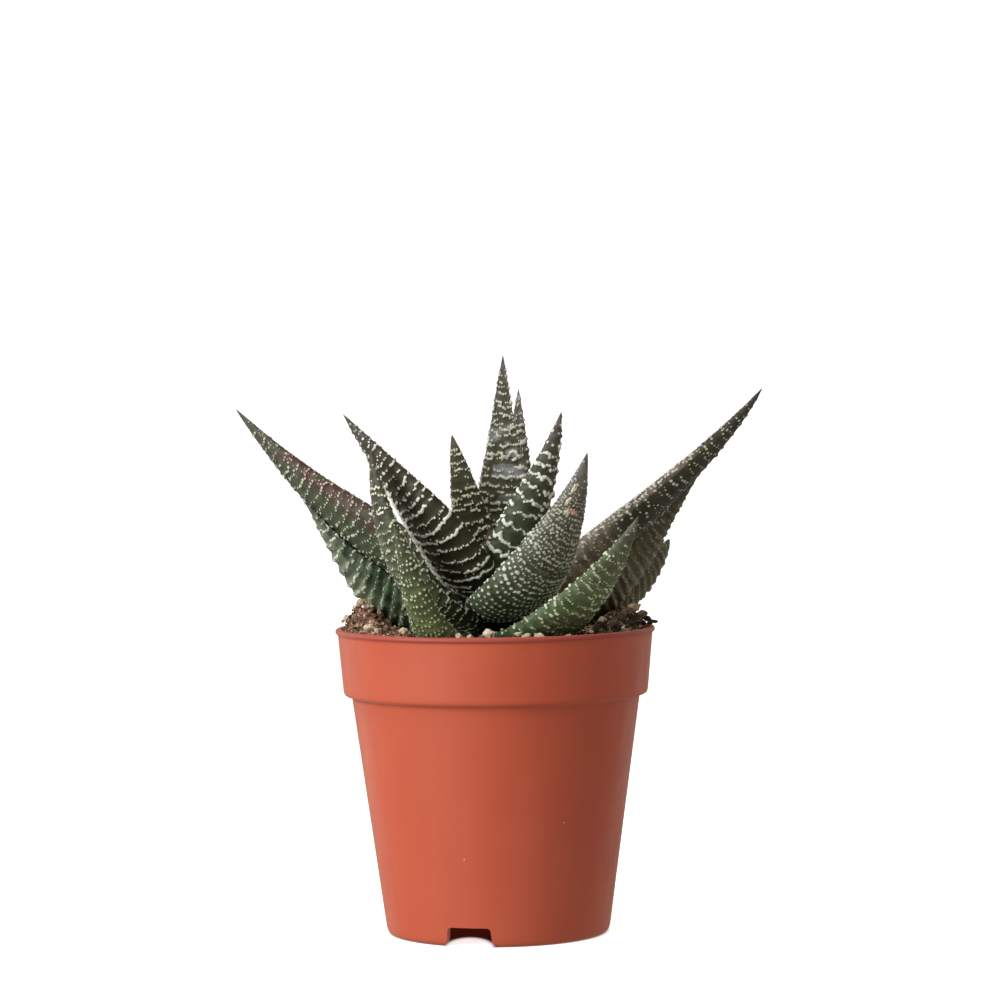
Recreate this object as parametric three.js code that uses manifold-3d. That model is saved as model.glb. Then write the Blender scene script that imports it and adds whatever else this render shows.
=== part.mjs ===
// Potted haworthia: a rosette of fleshy, pointed leaves on a short stem, in potting mix,
// in a thin moulded nursery pot. Millimetres, +Z up, origin on the pot's axis at the plane it stands on,
// -Y towards the viewer.
import * as THREE from 'three';
import { mergeVertices } from 'three/addons/utils/BufferGeometryUtils.js';
import Module from 'manifold-3d';

const wasm = await Module();
wasm.setup();

// Driving dimensions of the pot
const LIP_RADIUS = 30;
const POT_HEIGHT = 57.3;
const BEAD_HEIGHT = 1.1;
const BAND_TOP_RADIUS = 29.55;
const BAND_FOOT_RADIUS = 28.6;
const BAND_FOOT_Z = 45.4;
const STEP_HEIGHT = 0.9;
const BODY_TOP_RADIUS = 27.05;
const BODY_FOOT_RADIUS = 21.1;
const FOOT_ROUND = 1.6;
const WALL = 0.9;
const FLOOR_UNDERSIDE_Z = 3.7;
const FLOOR_THICKNESS = 1.0;
const FOOT_WALL = 1.5;
const POT_SEGMENTS = 48;
const NOTCH_WIDTH = 8.4;
const NOTCH_HEIGHT = 3.6;
const NOTCH_AZIMUTHS = [255, 15, 135];
const DRAIN_HOLE_RADIUS = 3;
const DRAIN_HOLE_DISTANCE = 11;

// Driving dimensions of the potting mix
const SOIL_GAP = 0.3;
const SOIL_RIM_Z = 56.6;
const SOIL_HOLLOW_Z = 55;
const SOIL_RINGS = 9;
const SOIL_SPOKES = 34;
const CRUMB_HEIGHT = 0.9;
const PUMICE_GRAINS = 26;
const PUMICE_RADIUS = [0.8, 1.5];

// Driving dimensions of the stem
const STEM_RADIUS = 3.4;
const STEM_FOOT_Z = 44;
const STEM_TOP_Z = 66;
const STEM_X = 0.5;

// Driving dimensions shared by the leaves
const LEAF_GAP = 0.3;
const LEAF_COLUMNS = 10;
const LEAF_ROOT_RADIUS = 2.2;
const TUBERCLE_HEIGHT = 0.4;
const ROOT_WIDTH_SHARE = 0.45;
const SHOULDER = 0.22;
const UPPER_FACE_SWELL = 0.35;
const TIP_BLUNTNESS = 0.85;

// The leaves, from the heart of the rosette outwards. Each row gives the azimuth and height at which the
// leaf leaves the stem, the azimuth its face follows, its greatest width and depth, how far it is rolled
// about its own length, how full it stays before it tapers, its rings, how its tubercles lie, the two points
// that bend it, and its tip.
const LEAVES = [
  { name: 'leaf_heart', azimuth: 240, height: 65.2, facing: 80,
    width: 6, depth: 1.8, roll: 0, taper: 1.5, rings: 10, relief: 'band',
    bend: [[0, -0.6, 69], [-0.5, 0.5, 72]], tip: [-0.8, 1.6, 76] },
  { name: 'leaf_young', azimuth: 150, height: 64.8, facing: 100,
    width: 8.5, depth: 2.6, roll: 0, taper: 1.5, rings: 16, relief: 'band',
    bend: [[-2.5, 3, 69], [-6, 5, 85]], tip: [-7.8, 7, 93.4] },
  { name: 'leaf_upright_right', azimuth: 315, height: 64, facing: 300,
    width: 12, depth: 3.6, roll: 0, taper: 1.5, rings: 22, relief: 'band',
    bend: [[0, -7, 71], [8.5, -9, 80]], tip: [12.8, -5, 97.6] },
  { name: 'leaf_tall', azimuth: 90, height: 63.5, facing: 92,
    width: 12, depth: 3.2, roll: 0, taper: 1.5, rings: 24, relief: 'band',
    bend: [[2.5, 10, 80], [1.5, 12, 81.5]], tip: [2.1, 14, 108.5] },
  { name: 'leaf_tall_behind', azimuth: 65, height: 62, facing: 80,
    width: 8, depth: 2.6, roll: 0, taper: 1.6, rings: 20, relief: 'band',
    bend: [[6, 18, 71], [4.5, 25, 84]], tip: [5.1, 26, 102] },
  { name: 'leaf_broad_left', azimuth: 215, height: 62.5, facing: 205,
    width: 14.5, depth: 4, roll: 20, taper: 1.45, rings: 24, relief: 'band',
    bend: [[-9.5, -11, 77], [-12.5, -11, 79]], tip: [-27.8, -6, 97.6] },
  { name: 'leaf_front', azimuth: 285, height: 61, facing: 300,
    width: 16.5, depth: 4.3, roll: 0, taper: 1.7, rings: 24, relief: 'dot',
    bend: [[2, -17, 66], [11, -20, 67.5]], tip: [17.3, -15, 90.1] },
  { name: 'leaf_back_left', azimuth: 150, height: 61, facing: 125,
    width: 11.5, depth: 3.4, roll: 0, taper: 1.4, rings: 16, relief: 'dot',
    bend: [[-6, 14, 66], [-11, 24, 73.5]], tip: [-13, 31, 78.5] },
  { name: 'leaf_back', azimuth: 100, height: 60.5, facing: 92,
    width: 11, depth: 3.2, roll: 0, taper: 1.4, rings: 18, relief: 'dot',
    bend: [[0.5, 20, 62], [1, 30, 78]], tip: [1.5, 33, 92] },
  { name: 'leaf_far_right', azimuth: 0, height: 59.5, facing: 2,
    width: 12.2, depth: 3.9, roll: -33, taper: 1.5, rings: 26, relief: 'dot',
    bend: [[10.5, -2, 66.5], [38, -6, 86]], tip: [49.2, -12, 101.2] },
  { name: 'leaf_far_left', azimuth: 180, height: 59, facing: 178,
    width: 14.5, depth: 3.8, roll: 49, taper: 1.5, rings: 26, relief: 'dot',
    bend: [[-19, 4, 73.5], [-30, 8, 77]], tip: [-49.2, 14, 98.7] },
  { name: 'leaf_slim_left', azimuth: 230, height: 59, facing: 215,
    width: 10.5, depth: 3.2, roll: 0, taper: 1.7, rings: 22, relief: 'band',
    bend: [[-14, -16, 60.5], [-20, -18, 74]], tip: [-22.5, -13, 91.3] },
  { name: 'leaf_back_right_short', azimuth: 28, height: 58.5, facing: 45,
    width: 9.5, depth: 2.8, roll: 0, taper: 1.4, rings: 16, relief: 'dot',
    bend: [[8.5, 12, 63.5], [16, 20, 66.5]], tip: [19.5, 23, 74] },
  { name: 'leaf_back_right', azimuth: 70, height: 58.5, facing: 60,
    width: 11, depth: 3.2, roll: 0, taper: 1.4, rings: 16, relief: 'dot',
    bend: [[5, 20, 61], [12, 29, 69.5]], tip: [14, 33.5, 77.5] },
  { name: 'leaf_back_left_low', azimuth: 160, height: 57, facing: 142,
    width: 11, depth: 3, roll: 0, taper: 1.4, rings: 16, relief: 'dot',
    bend: [[-8.5, 15, 62], [-17.5, 27, 66]], tip: [-21, 33, 72] },
  { name: 'leaf_back_low', azimuth: 100, height: 56, facing: 100,
    width: 11, depth: 3, roll: 0, taper: 1.4, rings: 18, relief: 'dot',
    bend: [[-0.5, 18, 61], [-2.5, 29, 65]], tip: [-4, 34, 72.5] },
  { name: 'leaf_front_left', azimuth: 250, height: 56, facing: 235,
    width: 10, depth: 3.2, roll: 0, taper: 1.5, rings: 22, relief: 'band',
    bend: [[-11.5, -20, 50.5], [-12.8, -31, 63]], tip: [-17.8, -34, 78] },
  { name: 'leaf_right_under', azimuth: 0, height: 55.8, facing: 8,
    width: 12.5, depth: 3.3, roll: -43, taper: 1.75, rings: 22, relief: 'dot',
    bend: [[23.5, 2, 60.5], [26, 4, 73]], tip: [39, 7, 85.4] },
  { name: 'leaf_back_right_low', azimuth: 35, height: 55.5, facing: 35,
    width: 10, depth: 3, roll: 0, taper: 1.4, rings: 16, relief: 'dot',
    bend: [[12.5, 18, 62], [20, 29, 66.5]], tip: [24, 34, 72] },
  { name: 'leaf_front_right', azimuth: 305, height: 55.5, facing: 312,
    width: 15, depth: 3.6, roll: -5, taper: 1.65, rings: 22, relief: 'band',
    bend: [[4, -20, 55], [18, -25, 62]], tip: [26.2, -24, 78.7] },
  { name: 'leaf_low_left', azimuth: 185, height: 55, facing: 172,
    width: 13, depth: 3.6, roll: 38, taper: 1.7, rings: 22, relief: 'band',
    bend: [[-19.5, 6, 59.5], [-24, 10, 65]], tip: [-36.3, 9, 81.3] },
  { name: 'leaf_low_right', azimuth: 15, height: 52.5, facing: 24,
    width: 11.5, depth: 3.3, roll: -46, taper: 1.8, rings: 18, relief: 'dot',
    bend: [[21.5, 12, 56.5], [31, 19, 68.5]], tip: [34, 21, 72.5] },
];

// Looks
const POT_COLOUR = 0xc9573a;
const SOIL_COLOUR = 0x4a3428;
const STEM_COLOUR = 0x6b6a45;
const LEAF_COLOUR = 0x3f5a3c;
const LIGHT_LEAF_COLOUR = 0x76904c;
const LIGHT_LEAVES = ['leaf_front_left', 'leaf_front_right'];

const radians = THREE.MathUtils.degToRad;

// A repeatable row of numbers between 0 and 1
function seeded(seed) {
  let state = seed;
  return () => {
    state = (state * 16807) % 2147483647;
    return state / 2147483647;
  };
}

// Joining and cutting
function toSolid(geometry) {
  const bare = geometry.clone();
  bare.deleteAttribute('normal');
  bare.deleteAttribute('uv');
  const merged = mergeVertices(bare, 1e-4);
  return new wasm.Manifold(new wasm.Mesh({
    numProp: 3,
    vertProperties: new Float32Array(merged.attributes.position.array),
    triVerts: new Uint32Array(merged.index.array),
  }));
}

function toGeometry(solid) {
  const mesh = solid.getMesh();
  const geometry = new THREE.BufferGeometry();
  geometry.setAttribute('position', new THREE.BufferAttribute(mesh.vertProperties, 3));
  geometry.setIndex(new THREE.BufferAttribute(mesh.triVerts, 1));
  geometry.computeVertexNormals();
  return geometry;
}

// The biggest of the separate bodies that a cut may leave
function largestPart(solid) {
  const parts = solid.decompose();
  return parts.reduce((best, part) => (part.volume() > best.volume() ? part : best));
}

function meshOf(name, geometry, colour, roughness) {
  const material = new THREE.MeshStandardMaterial({ color: colour, roughness, metalness: 0 });
  const mesh = new THREE.Mesh(geometry, material);
  mesh.name = name;
  return mesh;
}

// A body turned about the pot's axis, from a closed profile of [radius, height] points
function turned(profile, segments) {
  const points = profile.map(([radius, height]) => new THREE.Vector2(radius, height));
  const geometry = new THREE.LatheGeometry(points, segments);
  geometry.rotateX(Math.PI / 2);
  const solid = toSolid(geometry);
  return solid.volume() < 0 ? toSolid(flipped(geometry)) : solid;
}

function flipped(geometry) {
  const turnedRound = geometry.clone();
  const index = turnedRound.index.array;
  for (let i = 0; i < index.length; i += 3) {
    [index[i + 1], index[i + 2]] = [index[i + 2], index[i + 1]];
  }
  return turnedRound;
}

// The pot's radius inside its wall at a height
function innerRadius(z) {
  if (z > BAND_FOOT_Z) {
    const share = (z - BAND_FOOT_Z) / (POT_HEIGHT - BEAD_HEIGHT - BAND_FOOT_Z);
    return THREE.MathUtils.lerp(BAND_FOOT_RADIUS, BAND_TOP_RADIUS, Math.min(share, 1)) - WALL;
  }
  const share = (z - FOOT_ROUND) / (BAND_FOOT_Z - STEP_HEIGHT - FOOT_ROUND);
  return THREE.MathUtils.lerp(BODY_FOOT_RADIUS, BODY_TOP_RADIUS, Math.min(share, 1)) - WALL;
}

// Pot: beaded lip, plain rim band, step, tapered body, foot ring with drainage notches, raised floor
function buildPot() {
  const stepZ = BAND_FOOT_Z - STEP_HEIGHT;
  const floorTop = FLOOR_UNDERSIDE_Z + FLOOR_THICKNESS;
  const footInner = BODY_FOOT_RADIUS - FOOT_WALL;
  const shell = turned([
    [0, floorTop],
    [0, FLOOR_UNDERSIDE_Z],
    [footInner - 0.2, FLOOR_UNDERSIDE_Z],
    [footInner - 0.5, 0],
    [BODY_FOOT_RADIUS - 0.9, 0],
    [BODY_FOOT_RADIUS - 0.25, 0.45],
    [BODY_FOOT_RADIUS, FOOT_ROUND],
    [BODY_TOP_RADIUS, stepZ],
    [BAND_FOOT_RADIUS - 0.2, stepZ + 0.35],
    [BAND_FOOT_RADIUS, BAND_FOOT_Z + 0.1],
    [BAND_TOP_RADIUS, POT_HEIGHT - BEAD_HEIGHT],
    [LIP_RADIUS, POT_HEIGHT - BEAD_HEIGHT + 0.25],
    [LIP_RADIUS, POT_HEIGHT - 0.3],
    [LIP_RADIUS - 0.3, POT_HEIGHT],
    [LIP_RADIUS - 1.1, POT_HEIGHT],
    [innerRadius(POT_HEIGHT - BEAD_HEIGHT), POT_HEIGHT - BEAD_HEIGHT],
    [innerRadius(BAND_FOOT_Z + 0.1), BAND_FOOT_Z + 0.1],
    [innerRadius(stepZ), stepZ - 0.4],
    [innerRadius(floorTop) + 0.1, floorTop + 1.2],
    [innerRadius(floorTop) - 1.2, floorTop],
    [0, floorTop],
  ], POT_SEGMENTS);
  let pot = shell;
  for (const azimuth of NOTCH_AZIMUTHS) {
    pot = pot.subtract(notch(azimuth)).subtract(drainHole(azimuth));
  }
  return pot;
}

// A notch through the foot ring, its lower corners flared
function notch(azimuth) {
  const outline = new THREE.Shape();
  const half = NOTCH_WIDTH / 2;
  outline.moveTo(-half - 0.5, -1);
  outline.lineTo(half + 0.5, -1);
  outline.lineTo(half + 0.4, 0);
  outline.lineTo(half, 0.7);
  outline.lineTo(half - 0.1, NOTCH_HEIGHT - 0.5);
  outline.lineTo(half - 0.5, NOTCH_HEIGHT);
  outline.lineTo(-half + 0.5, NOTCH_HEIGHT);
  outline.lineTo(-half + 0.1, NOTCH_HEIGHT - 0.5);
  outline.lineTo(-half, 0.7);
  outline.lineTo(-half - 0.4, 0);
  const geometry = new THREE.ExtrudeGeometry(outline, { depth: 6, bevelEnabled: false });
  geometry.rotateX(Math.PI / 2);
  geometry.translate(0, BODY_FOOT_RADIUS + 2, 0);
  geometry.rotateZ(radians(azimuth - 90));
  return toSolid(geometry);
}

// A round hole in the floor
function drainHole(azimuth) {
  const geometry = new THREE.CylinderGeometry(DRAIN_HOLE_RADIUS, DRAIN_HOLE_RADIUS, 6, 16);
  geometry.rotateX(Math.PI / 2);
  geometry.translate(DRAIN_HOLE_DISTANCE, 0, FLOOR_UNDERSIDE_Z);
  geometry.rotateZ(radians(azimuth));
  return toSolid(geometry);
}

// Stem: a short column with a domed top
function buildStem(grow) {
  const radius = STEM_RADIUS + grow;
  return turned([
    [0, STEM_FOOT_Z - grow],
    [radius * 0.7, STEM_FOOT_Z - grow],
    [radius, STEM_FOOT_Z + 3],
    [radius, STEM_TOP_Z - 3],
    [radius * 0.75, STEM_TOP_Z - 1 + grow],
    [radius * 0.35, STEM_TOP_Z + grow],
    [0, STEM_TOP_Z + grow],
  ], 16).translate([STEM_X, 0, 0]);
}

// A leaf's middle line, from its root inside the stem to its tip
function leafCurve(leaf) {
  const a = radians(leaf.azimuth);
  const root = new THREE.Vector3(
    STEM_X + LEAF_ROOT_RADIUS * Math.cos(a),
    LEAF_ROOT_RADIUS * Math.sin(a),
    leaf.height,
  );
  return new THREE.CubicBezierCurve3(
    root,
    new THREE.Vector3(...leaf.bend[0]),
    new THREE.Vector3(...leaf.bend[1]),
    new THREE.Vector3(...leaf.tip),
  );
}

// Share of the greatest width: narrow at the stem, full over the lower third, then a straight taper
function widthShare(leaf, t) {
  const s = Math.min(t / SHOULDER, 1);
  const rise = ROOT_WIDTH_SHARE + (1 - ROOT_WIDTH_SHARE) * s * (2 - s);
  const fall = Math.max((1 - t) ** TIP_BLUNTNESS * leaf.taper, 1e-4);
  return rise / (1 + fall ** -6) ** (1 / 6);
}

// Tubercles: every other ring stands proud, as a whole band or as staggered knobs
function reliefHeight(leaf, ring, column) {
  if (ring % 2 === 0 || ring >= leaf.rings - 2) {
    return 0;
  }
  if (leaf.relief === 'band') {
    return column % 3 === 0 ? 0.55 : 1;
  }
  return (column + (ring - 1) / 2) % 2 === 0 ? 1 : 0;
}

// A leaf as a closed body of rings; grow swells it on all sides, without tubercles
function leafSolid(leaf, grow) {
  const curve = leafCurve(leaf);
  const across = new THREE.Vector3(-Math.sin(radians(leaf.facing)), Math.cos(radians(leaf.facing)), 0);
  const rings = leaf.rings;
  const columns = LEAF_COLUMNS;
  const positions = [];
  for (let ring = 0; ring < rings; ring += 1) {
    const t = ring / rings;
    const centre = curve.getPoint(t);
    const along = curve.getTangent(t);
    const side = across.clone().addScaledVector(along, -across.dot(along)).normalize();
    const face = new THREE.Vector3().crossVectors(along, side);
    side.applyAxisAngle(along, radians(leaf.roll));
    face.applyAxisAngle(along, radians(leaf.roll));
    const share = widthShare(leaf, t);
    const knob = TUBERCLE_HEIGHT * Math.min(share * 2, 1);
    if (ring === 0) {
      centre.addScaledVector(along, -grow);
    }
    for (let column = 0; column < columns; column += 1) {
      const angle = (column / columns) * Math.PI * 2;
      const raised = grow > 0 ? grow : knob * reliefHeight(leaf, ring, column);
      const x = ((leaf.width / 2) * share + raised) * Math.cos(angle);
      const depth = Math.sin(angle) > 0 ? UPPER_FACE_SWELL * share : leaf.depth * share ** 0.85;
      const y = (depth + raised) * Math.sign(Math.sin(angle)) * Math.abs(Math.sin(angle)) ** 0.9;
      const point = centre.clone().addScaledVector(side, x).addScaledVector(face, y);
      positions.push(point.x, point.y, point.z);
    }
  }
  const tip = curve.getPoint(1).addScaledVector(curve.getTangent(1), grow);
  const root = curve.getPoint(0).addScaledVector(curve.getTangent(0), -grow);
  positions.push(tip.x, tip.y, tip.z, root.x, root.y, root.z);
  const index = [];
  const tipIndex = rings * columns;
  const rootIndex = tipIndex + 1;
  for (let ring = 0; ring < rings - 1; ring += 1) {
    for (let column = 0; column < columns; column += 1) {
      const p = ring * columns + column;
      const q = ring * columns + ((column + 1) % columns);
      index.push(p, q + columns, q, p, p + columns, q + columns);
    }
  }
  for (let column = 0; column < columns; column += 1) {
    const next = (column + 1) % columns;
    index.push((rings - 1) * columns + column, tipIndex, (rings - 1) * columns + next);
    index.push(rootIndex, column, next);
  }
  const geometry = new THREE.BufferGeometry();
  geometry.setAttribute('position', new THREE.Float32BufferAttribute(positions, 3));
  geometry.setIndex(index);
  const solid = toSolid(geometry);
  return solid.volume() < 0 ? toSolid(flipped(geometry)) : solid;
}

// Leaves, each one pressed aside at its base by the stem and by the leaves nearer the heart
function buildLeaves() {
  const stemRoom = buildStem(LEAF_GAP);
  const taken = [];
  return LEAVES.map((leaf) => {
    let solid = leafSolid(leaf, 0).subtract(stemRoom);
    for (const neighbour of taken) {
      solid = solid.subtract(neighbour);
    }
    taken.push(leafSolid(leaf, TUBERCLE_HEIGHT + LEAF_GAP));
    return largestPart(solid);
  });
}

// Height of the potting mix: a hollow round the rosette, and low heaps at the left and right of the rim
function soilHeight(radius, azimuth) {
  const rimShare = THREE.MathUtils.smoothstep(radius, 9, 23);
  const leftHeap = Math.exp(-(((azimuth - 186) / 30) ** 2));
  const rightHeap = Math.exp(-((Math.min(azimuth, 360 - azimuth) / 28) ** 2));
  const heap = (5.6 * leftHeap + 3.9 * rightHeap) * THREE.MathUtils.smoothstep(radius, 13, 25);
  const lipDrop = heap * 0.7 * THREE.MathUtils.smoothstep(radius, 25.6, 28.4);
  return SOIL_HOLLOW_Z + (SOIL_RIM_Z - SOIL_HOLLOW_Z) * rimShare + heap - lipDrop;
}

// Potting mix: fills the pot, crumbly on top, with pale pumice grains sunk into it
function buildSoil(leafRooms) {
  const random = seeded(7);
  const floor = FLOOR_UNDERSIDE_Z + FLOOR_THICKNESS + SOIL_GAP;
  const body = turned([
    [0, floor],
    [innerRadius(floor) - 1.6, floor],
    [innerRadius(floor) - SOIL_GAP - 0.1, floor + 1.4],
    [innerRadius(BAND_FOOT_Z - STEP_HEIGHT) - SOIL_GAP - 0.1, BAND_FOOT_Z - STEP_HEIGHT - 0.6],
    [innerRadius(BAND_FOOT_Z) - SOIL_GAP - 0.1, BAND_FOOT_Z + 0.4],
    [innerRadius(POT_HEIGHT) - SOIL_GAP - 0.1, POT_HEIGHT - BEAD_HEIGHT],
    [innerRadius(POT_HEIGHT) - SOIL_GAP - 0.1, POT_HEIGHT + 10],
    [0, POT_HEIGHT + 10],
  ], 36);
  let soil = body.intersect(soilTop(random));
  for (let grain = 0; grain < PUMICE_GRAINS; grain += 1) {
    soil = soil.add(pumiceGrain(random));
  }
  for (const room of leafRooms) {
    soil = soil.subtract(room);
  }
  return largestPart(soil.subtract(buildStem(SOIL_GAP)));
}

// Everything below the crumbly surface
function soilTop(random) {
  const reach = LIP_RADIUS + 2;
  const positions = [0, 0, soilHeight(0, 0), 0, 0, 0];
  for (let ring = 1; ring <= SOIL_RINGS; ring += 1) {
    for (let spoke = 0; spoke < SOIL_SPOKES; spoke += 1) {
      const radius = reach * (ring / SOIL_RINGS) ** 0.7;
      const azimuth = (360 * (spoke + (ring % 2) / 2)) / SOIL_SPOKES;
      const crumb = CRUMB_HEIGHT * (random() - 0.5) * 2;
      const a = radians(azimuth);
      positions.push(radius * Math.cos(a), radius * Math.sin(a), soilHeight(radius, azimuth) + crumb);
    }
  }
  for (let spoke = 0; spoke < SOIL_SPOKES; spoke += 1) {
    const a = radians((360 * (spoke + (SOIL_RINGS % 2) / 2)) / SOIL_SPOKES);
    positions.push(reach * Math.cos(a), reach * Math.sin(a), 0);
  }
  const index = [];
  const at = (ring, spoke) => 2 + (ring - 1) * SOIL_SPOKES + (spoke % SOIL_SPOKES);
  for (let spoke = 0; spoke < SOIL_SPOKES; spoke += 1) {
    index.push(0, at(1, spoke), at(1, spoke + 1));
    for (let ring = 1; ring <= SOIL_RINGS; ring += 1) {
      index.push(at(ring, spoke), at(ring + 1, spoke), at(ring + 1, spoke + 1));
      index.push(at(ring, spoke), at(ring + 1, spoke + 1), at(ring, spoke + 1));
    }
    index.push(1, at(SOIL_RINGS + 1, spoke + 1), at(SOIL_RINGS + 1, spoke));
  }
  const geometry = new THREE.BufferGeometry();
  geometry.setAttribute('position', new THREE.Float32BufferAttribute(positions, 3));
  geometry.setIndex(index);
  return toSolid(geometry);
}

// One pumice grain, its lower half sunk into the mix, clear of the lip
function pumiceGrain(random) {
  const size = THREE.MathUtils.lerp(PUMICE_RADIUS[0], PUMICE_RADIUS[1], random());
  const azimuth = 360 * random();
  const radius = THREE.MathUtils.lerp(15, innerRadius(POT_HEIGHT) - SOIL_GAP - 0.3 - size, random() ** 0.5);
  const geometry = new THREE.IcosahedronGeometry(size, 0);
  geometry.scale(1, 0.8 + 0.3 * random(), 0.75);
  geometry.rotateZ(Math.PI * random());
  geometry.rotateX(random() - 0.5);
  const a = radians(azimuth);
  geometry.translate(radius * Math.cos(a), radius * Math.sin(a), soilHeight(radius, azimuth) + size * 0.25);
  return toSolid(geometry);
}

const group = new THREE.Group();
group.name = 'potted_haworthia';
group.add(meshOf('pot', toGeometry(buildPot()), POT_COLOUR, 0.4));
const leafRooms = LEAVES.map((leaf) => leafSolid(leaf, TUBERCLE_HEIGHT + SOIL_GAP));
group.add(meshOf('soil', toGeometry(buildSoil(leafRooms)), SOIL_COLOUR, 0.95));
group.add(meshOf('stem', toGeometry(buildStem(0)), STEM_COLOUR, 0.7));
buildLeaves().forEach((solid, i) => {
  const name = LEAVES[i].name;
  const colour = LIGHT_LEAVES.includes(name) ? LIGHT_LEAF_COLOUR : LEAF_COLOUR;
  group.add(meshOf(name, toGeometry(solid), colour, 0.5));
});

export default group;
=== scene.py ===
import math
from collections import namedtuple

import bmesh
import bpy
import numpy as np
from mathutils import Matrix, Vector


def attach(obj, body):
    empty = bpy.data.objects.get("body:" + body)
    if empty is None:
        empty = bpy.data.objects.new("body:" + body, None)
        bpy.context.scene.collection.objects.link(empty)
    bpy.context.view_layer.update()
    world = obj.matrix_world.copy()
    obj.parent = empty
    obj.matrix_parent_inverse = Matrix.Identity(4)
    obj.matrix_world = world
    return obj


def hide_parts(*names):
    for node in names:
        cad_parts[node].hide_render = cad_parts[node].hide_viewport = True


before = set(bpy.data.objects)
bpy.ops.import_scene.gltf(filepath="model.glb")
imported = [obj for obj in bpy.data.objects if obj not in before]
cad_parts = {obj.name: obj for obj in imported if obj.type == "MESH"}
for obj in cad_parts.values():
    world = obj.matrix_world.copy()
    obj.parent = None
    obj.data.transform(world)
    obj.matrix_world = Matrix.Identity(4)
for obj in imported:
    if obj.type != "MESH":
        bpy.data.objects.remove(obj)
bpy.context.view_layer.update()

# Potted haworthia: a rosette of fleshy, pointed leaves with pearly tubercles, in crumbly potting mix,
# in a thin moulded nursery pot. Lengths are in millimetres until a mesh is made.
MM = 0.001
FULL_TURN = 2 * math.pi

# Camera
CAMERA_PLACE = (0, -650, 101.2)
CAMERA_AIM = (0.914, 0, 81.1)
CAMERA_TURN = 0.0115
CAMERA_LENS = 125.07

# Studio
FLOOR_RADIUS = 1500
BOWL_ROUND = 600
BOWL_HEIGHT = 1500
FLOOR_COLUMNS = 72
FLOOR_GLOW = 0.80

# Pot
LIP_RADIUS = 30
POT_HEIGHT = 57.3
BEAD_HEIGHT = 1.1
BAND_TOP_RADIUS = 29.55
BAND_FOOT_RADIUS = 28.6
BAND_FOOT_Z = 45.4
STEP_HEIGHT = 0.9
BODY_TOP_RADIUS = 27.05
BODY_FOOT_RADIUS = 21.1
FOOT_ROUND = 1.6
WALL = 0.9
FLOOR_UNDERSIDE_Z = 3.7
FLOOR_THICKNESS = 1.0
FOOT_WALL = 1.5
FOOT_EDGE = 0.9
LIP_WIDTH = 1.1
LIP_ROUND = 0.3
CORNER_ROUND = 0.45
POT_COLUMNS = 192
SHARP_ANGLE = 42
NOTCH_WIDTH = 8.4
NOTCH_HEIGHT = 3.6
NOTCH_FLARE = 1.6
NOTCH_ROUND = 0.7
NOTCH_AZIMUTHS = (255, 15, 135)
DRAIN_HOLE_RADIUS = 3
DRAIN_HOLE_DISTANCE = 11
DRAIN_HOLE_SIDES = 40

# Potting mix
SOIL_RIM_Z = 56.6
SOIL_HOLLOW_Z = 55
SOIL_RADIUS = 28.35
SOIL_DEPTH_Z = 50
SOIL_RINGS = 92
SOIL_SPOKES = 300
SMALL_CRUMBS = 1500
LARGE_CRUMBS = 260
PUMICE_GRAINS = 70
LEFT_HEAP = 5.5
LEFT_HEAP_AZIMUTH = 186
RIGHT_HEAP = 3.7
LEAF_ROOM = 0.35
PRESS_ROUNDS = 12
PRESS_STEP = 0.5

# Leaves
STEM_X = 0.5
STEM_RADIUS = 3.4
STEM_TOP_Z = 66
LEAF_ROOT_RADIUS = 2.2
ROOT_WIDTH_SHARE = 0.45
SHOULDER = 0.22
UPPER_FACE_SWELL = 0.35
DEPTH_TAPER = 0.85
TIP_BLUNTNESS = 0.85
HIDDEN_SHARE = 0.1
SKIN_UNEVENNESS = 0.14
SKIN_ROOM = 0.3
LEAF_GAP = 0.25
FIRST_ROW_SHARE = 0.06
LAST_ROW_GAP = 1.2
LAST_TUBERCLE_GAP = 0.9
LAST_RING_GAP = 0.14
RIDGE_WIDTH_SHARE = 0.34
TUBERCLE_RISE = 0.88
HIGHEST_RISE = 0.5
SCAR_RISE = 0.12
SKIN_STOPS = (0.06, 0.26, 0.52, 0.80, 0.95)


def srgb(red, green, blue):
    """A colour given in 0 to 255 steps, as the shader's linear colour."""
    def linear(value):
        share = value / 255
        return share / 12.92 if share <= 0.04045 else ((share + 0.055) / 1.055) ** 2.4
    return (linear(red), linear(green), linear(blue), 1.0)


def smoothstep(x, low, high):
    share = np.clip((x - low) / (high - low), 0, 1)
    return share * share * (3 - 2 * share)


def cloudy(x, y, seed):
    """Smooth noise between -1 and 1 over a plane."""
    knots = np.random.default_rng(seed).uniform(-1, 1, (128, 128))
    px, py = np.asarray(x, float) % 127, np.asarray(y, float) % 127
    ix, iy = np.floor(px).astype(int), np.floor(py).astype(int)
    sx, sy = px - ix, py - iy
    sx, sy = sx * sx * (3 - 2 * sx), sy * sy * (3 - 2 * sy)
    low = knots[ix, iy] * (1 - sx) + knots[ix + 1, iy] * sx
    high = knots[ix, iy + 1] * (1 - sx) + knots[ix + 1, iy + 1] * sx
    return low * (1 - sy) + high * sy


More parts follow.
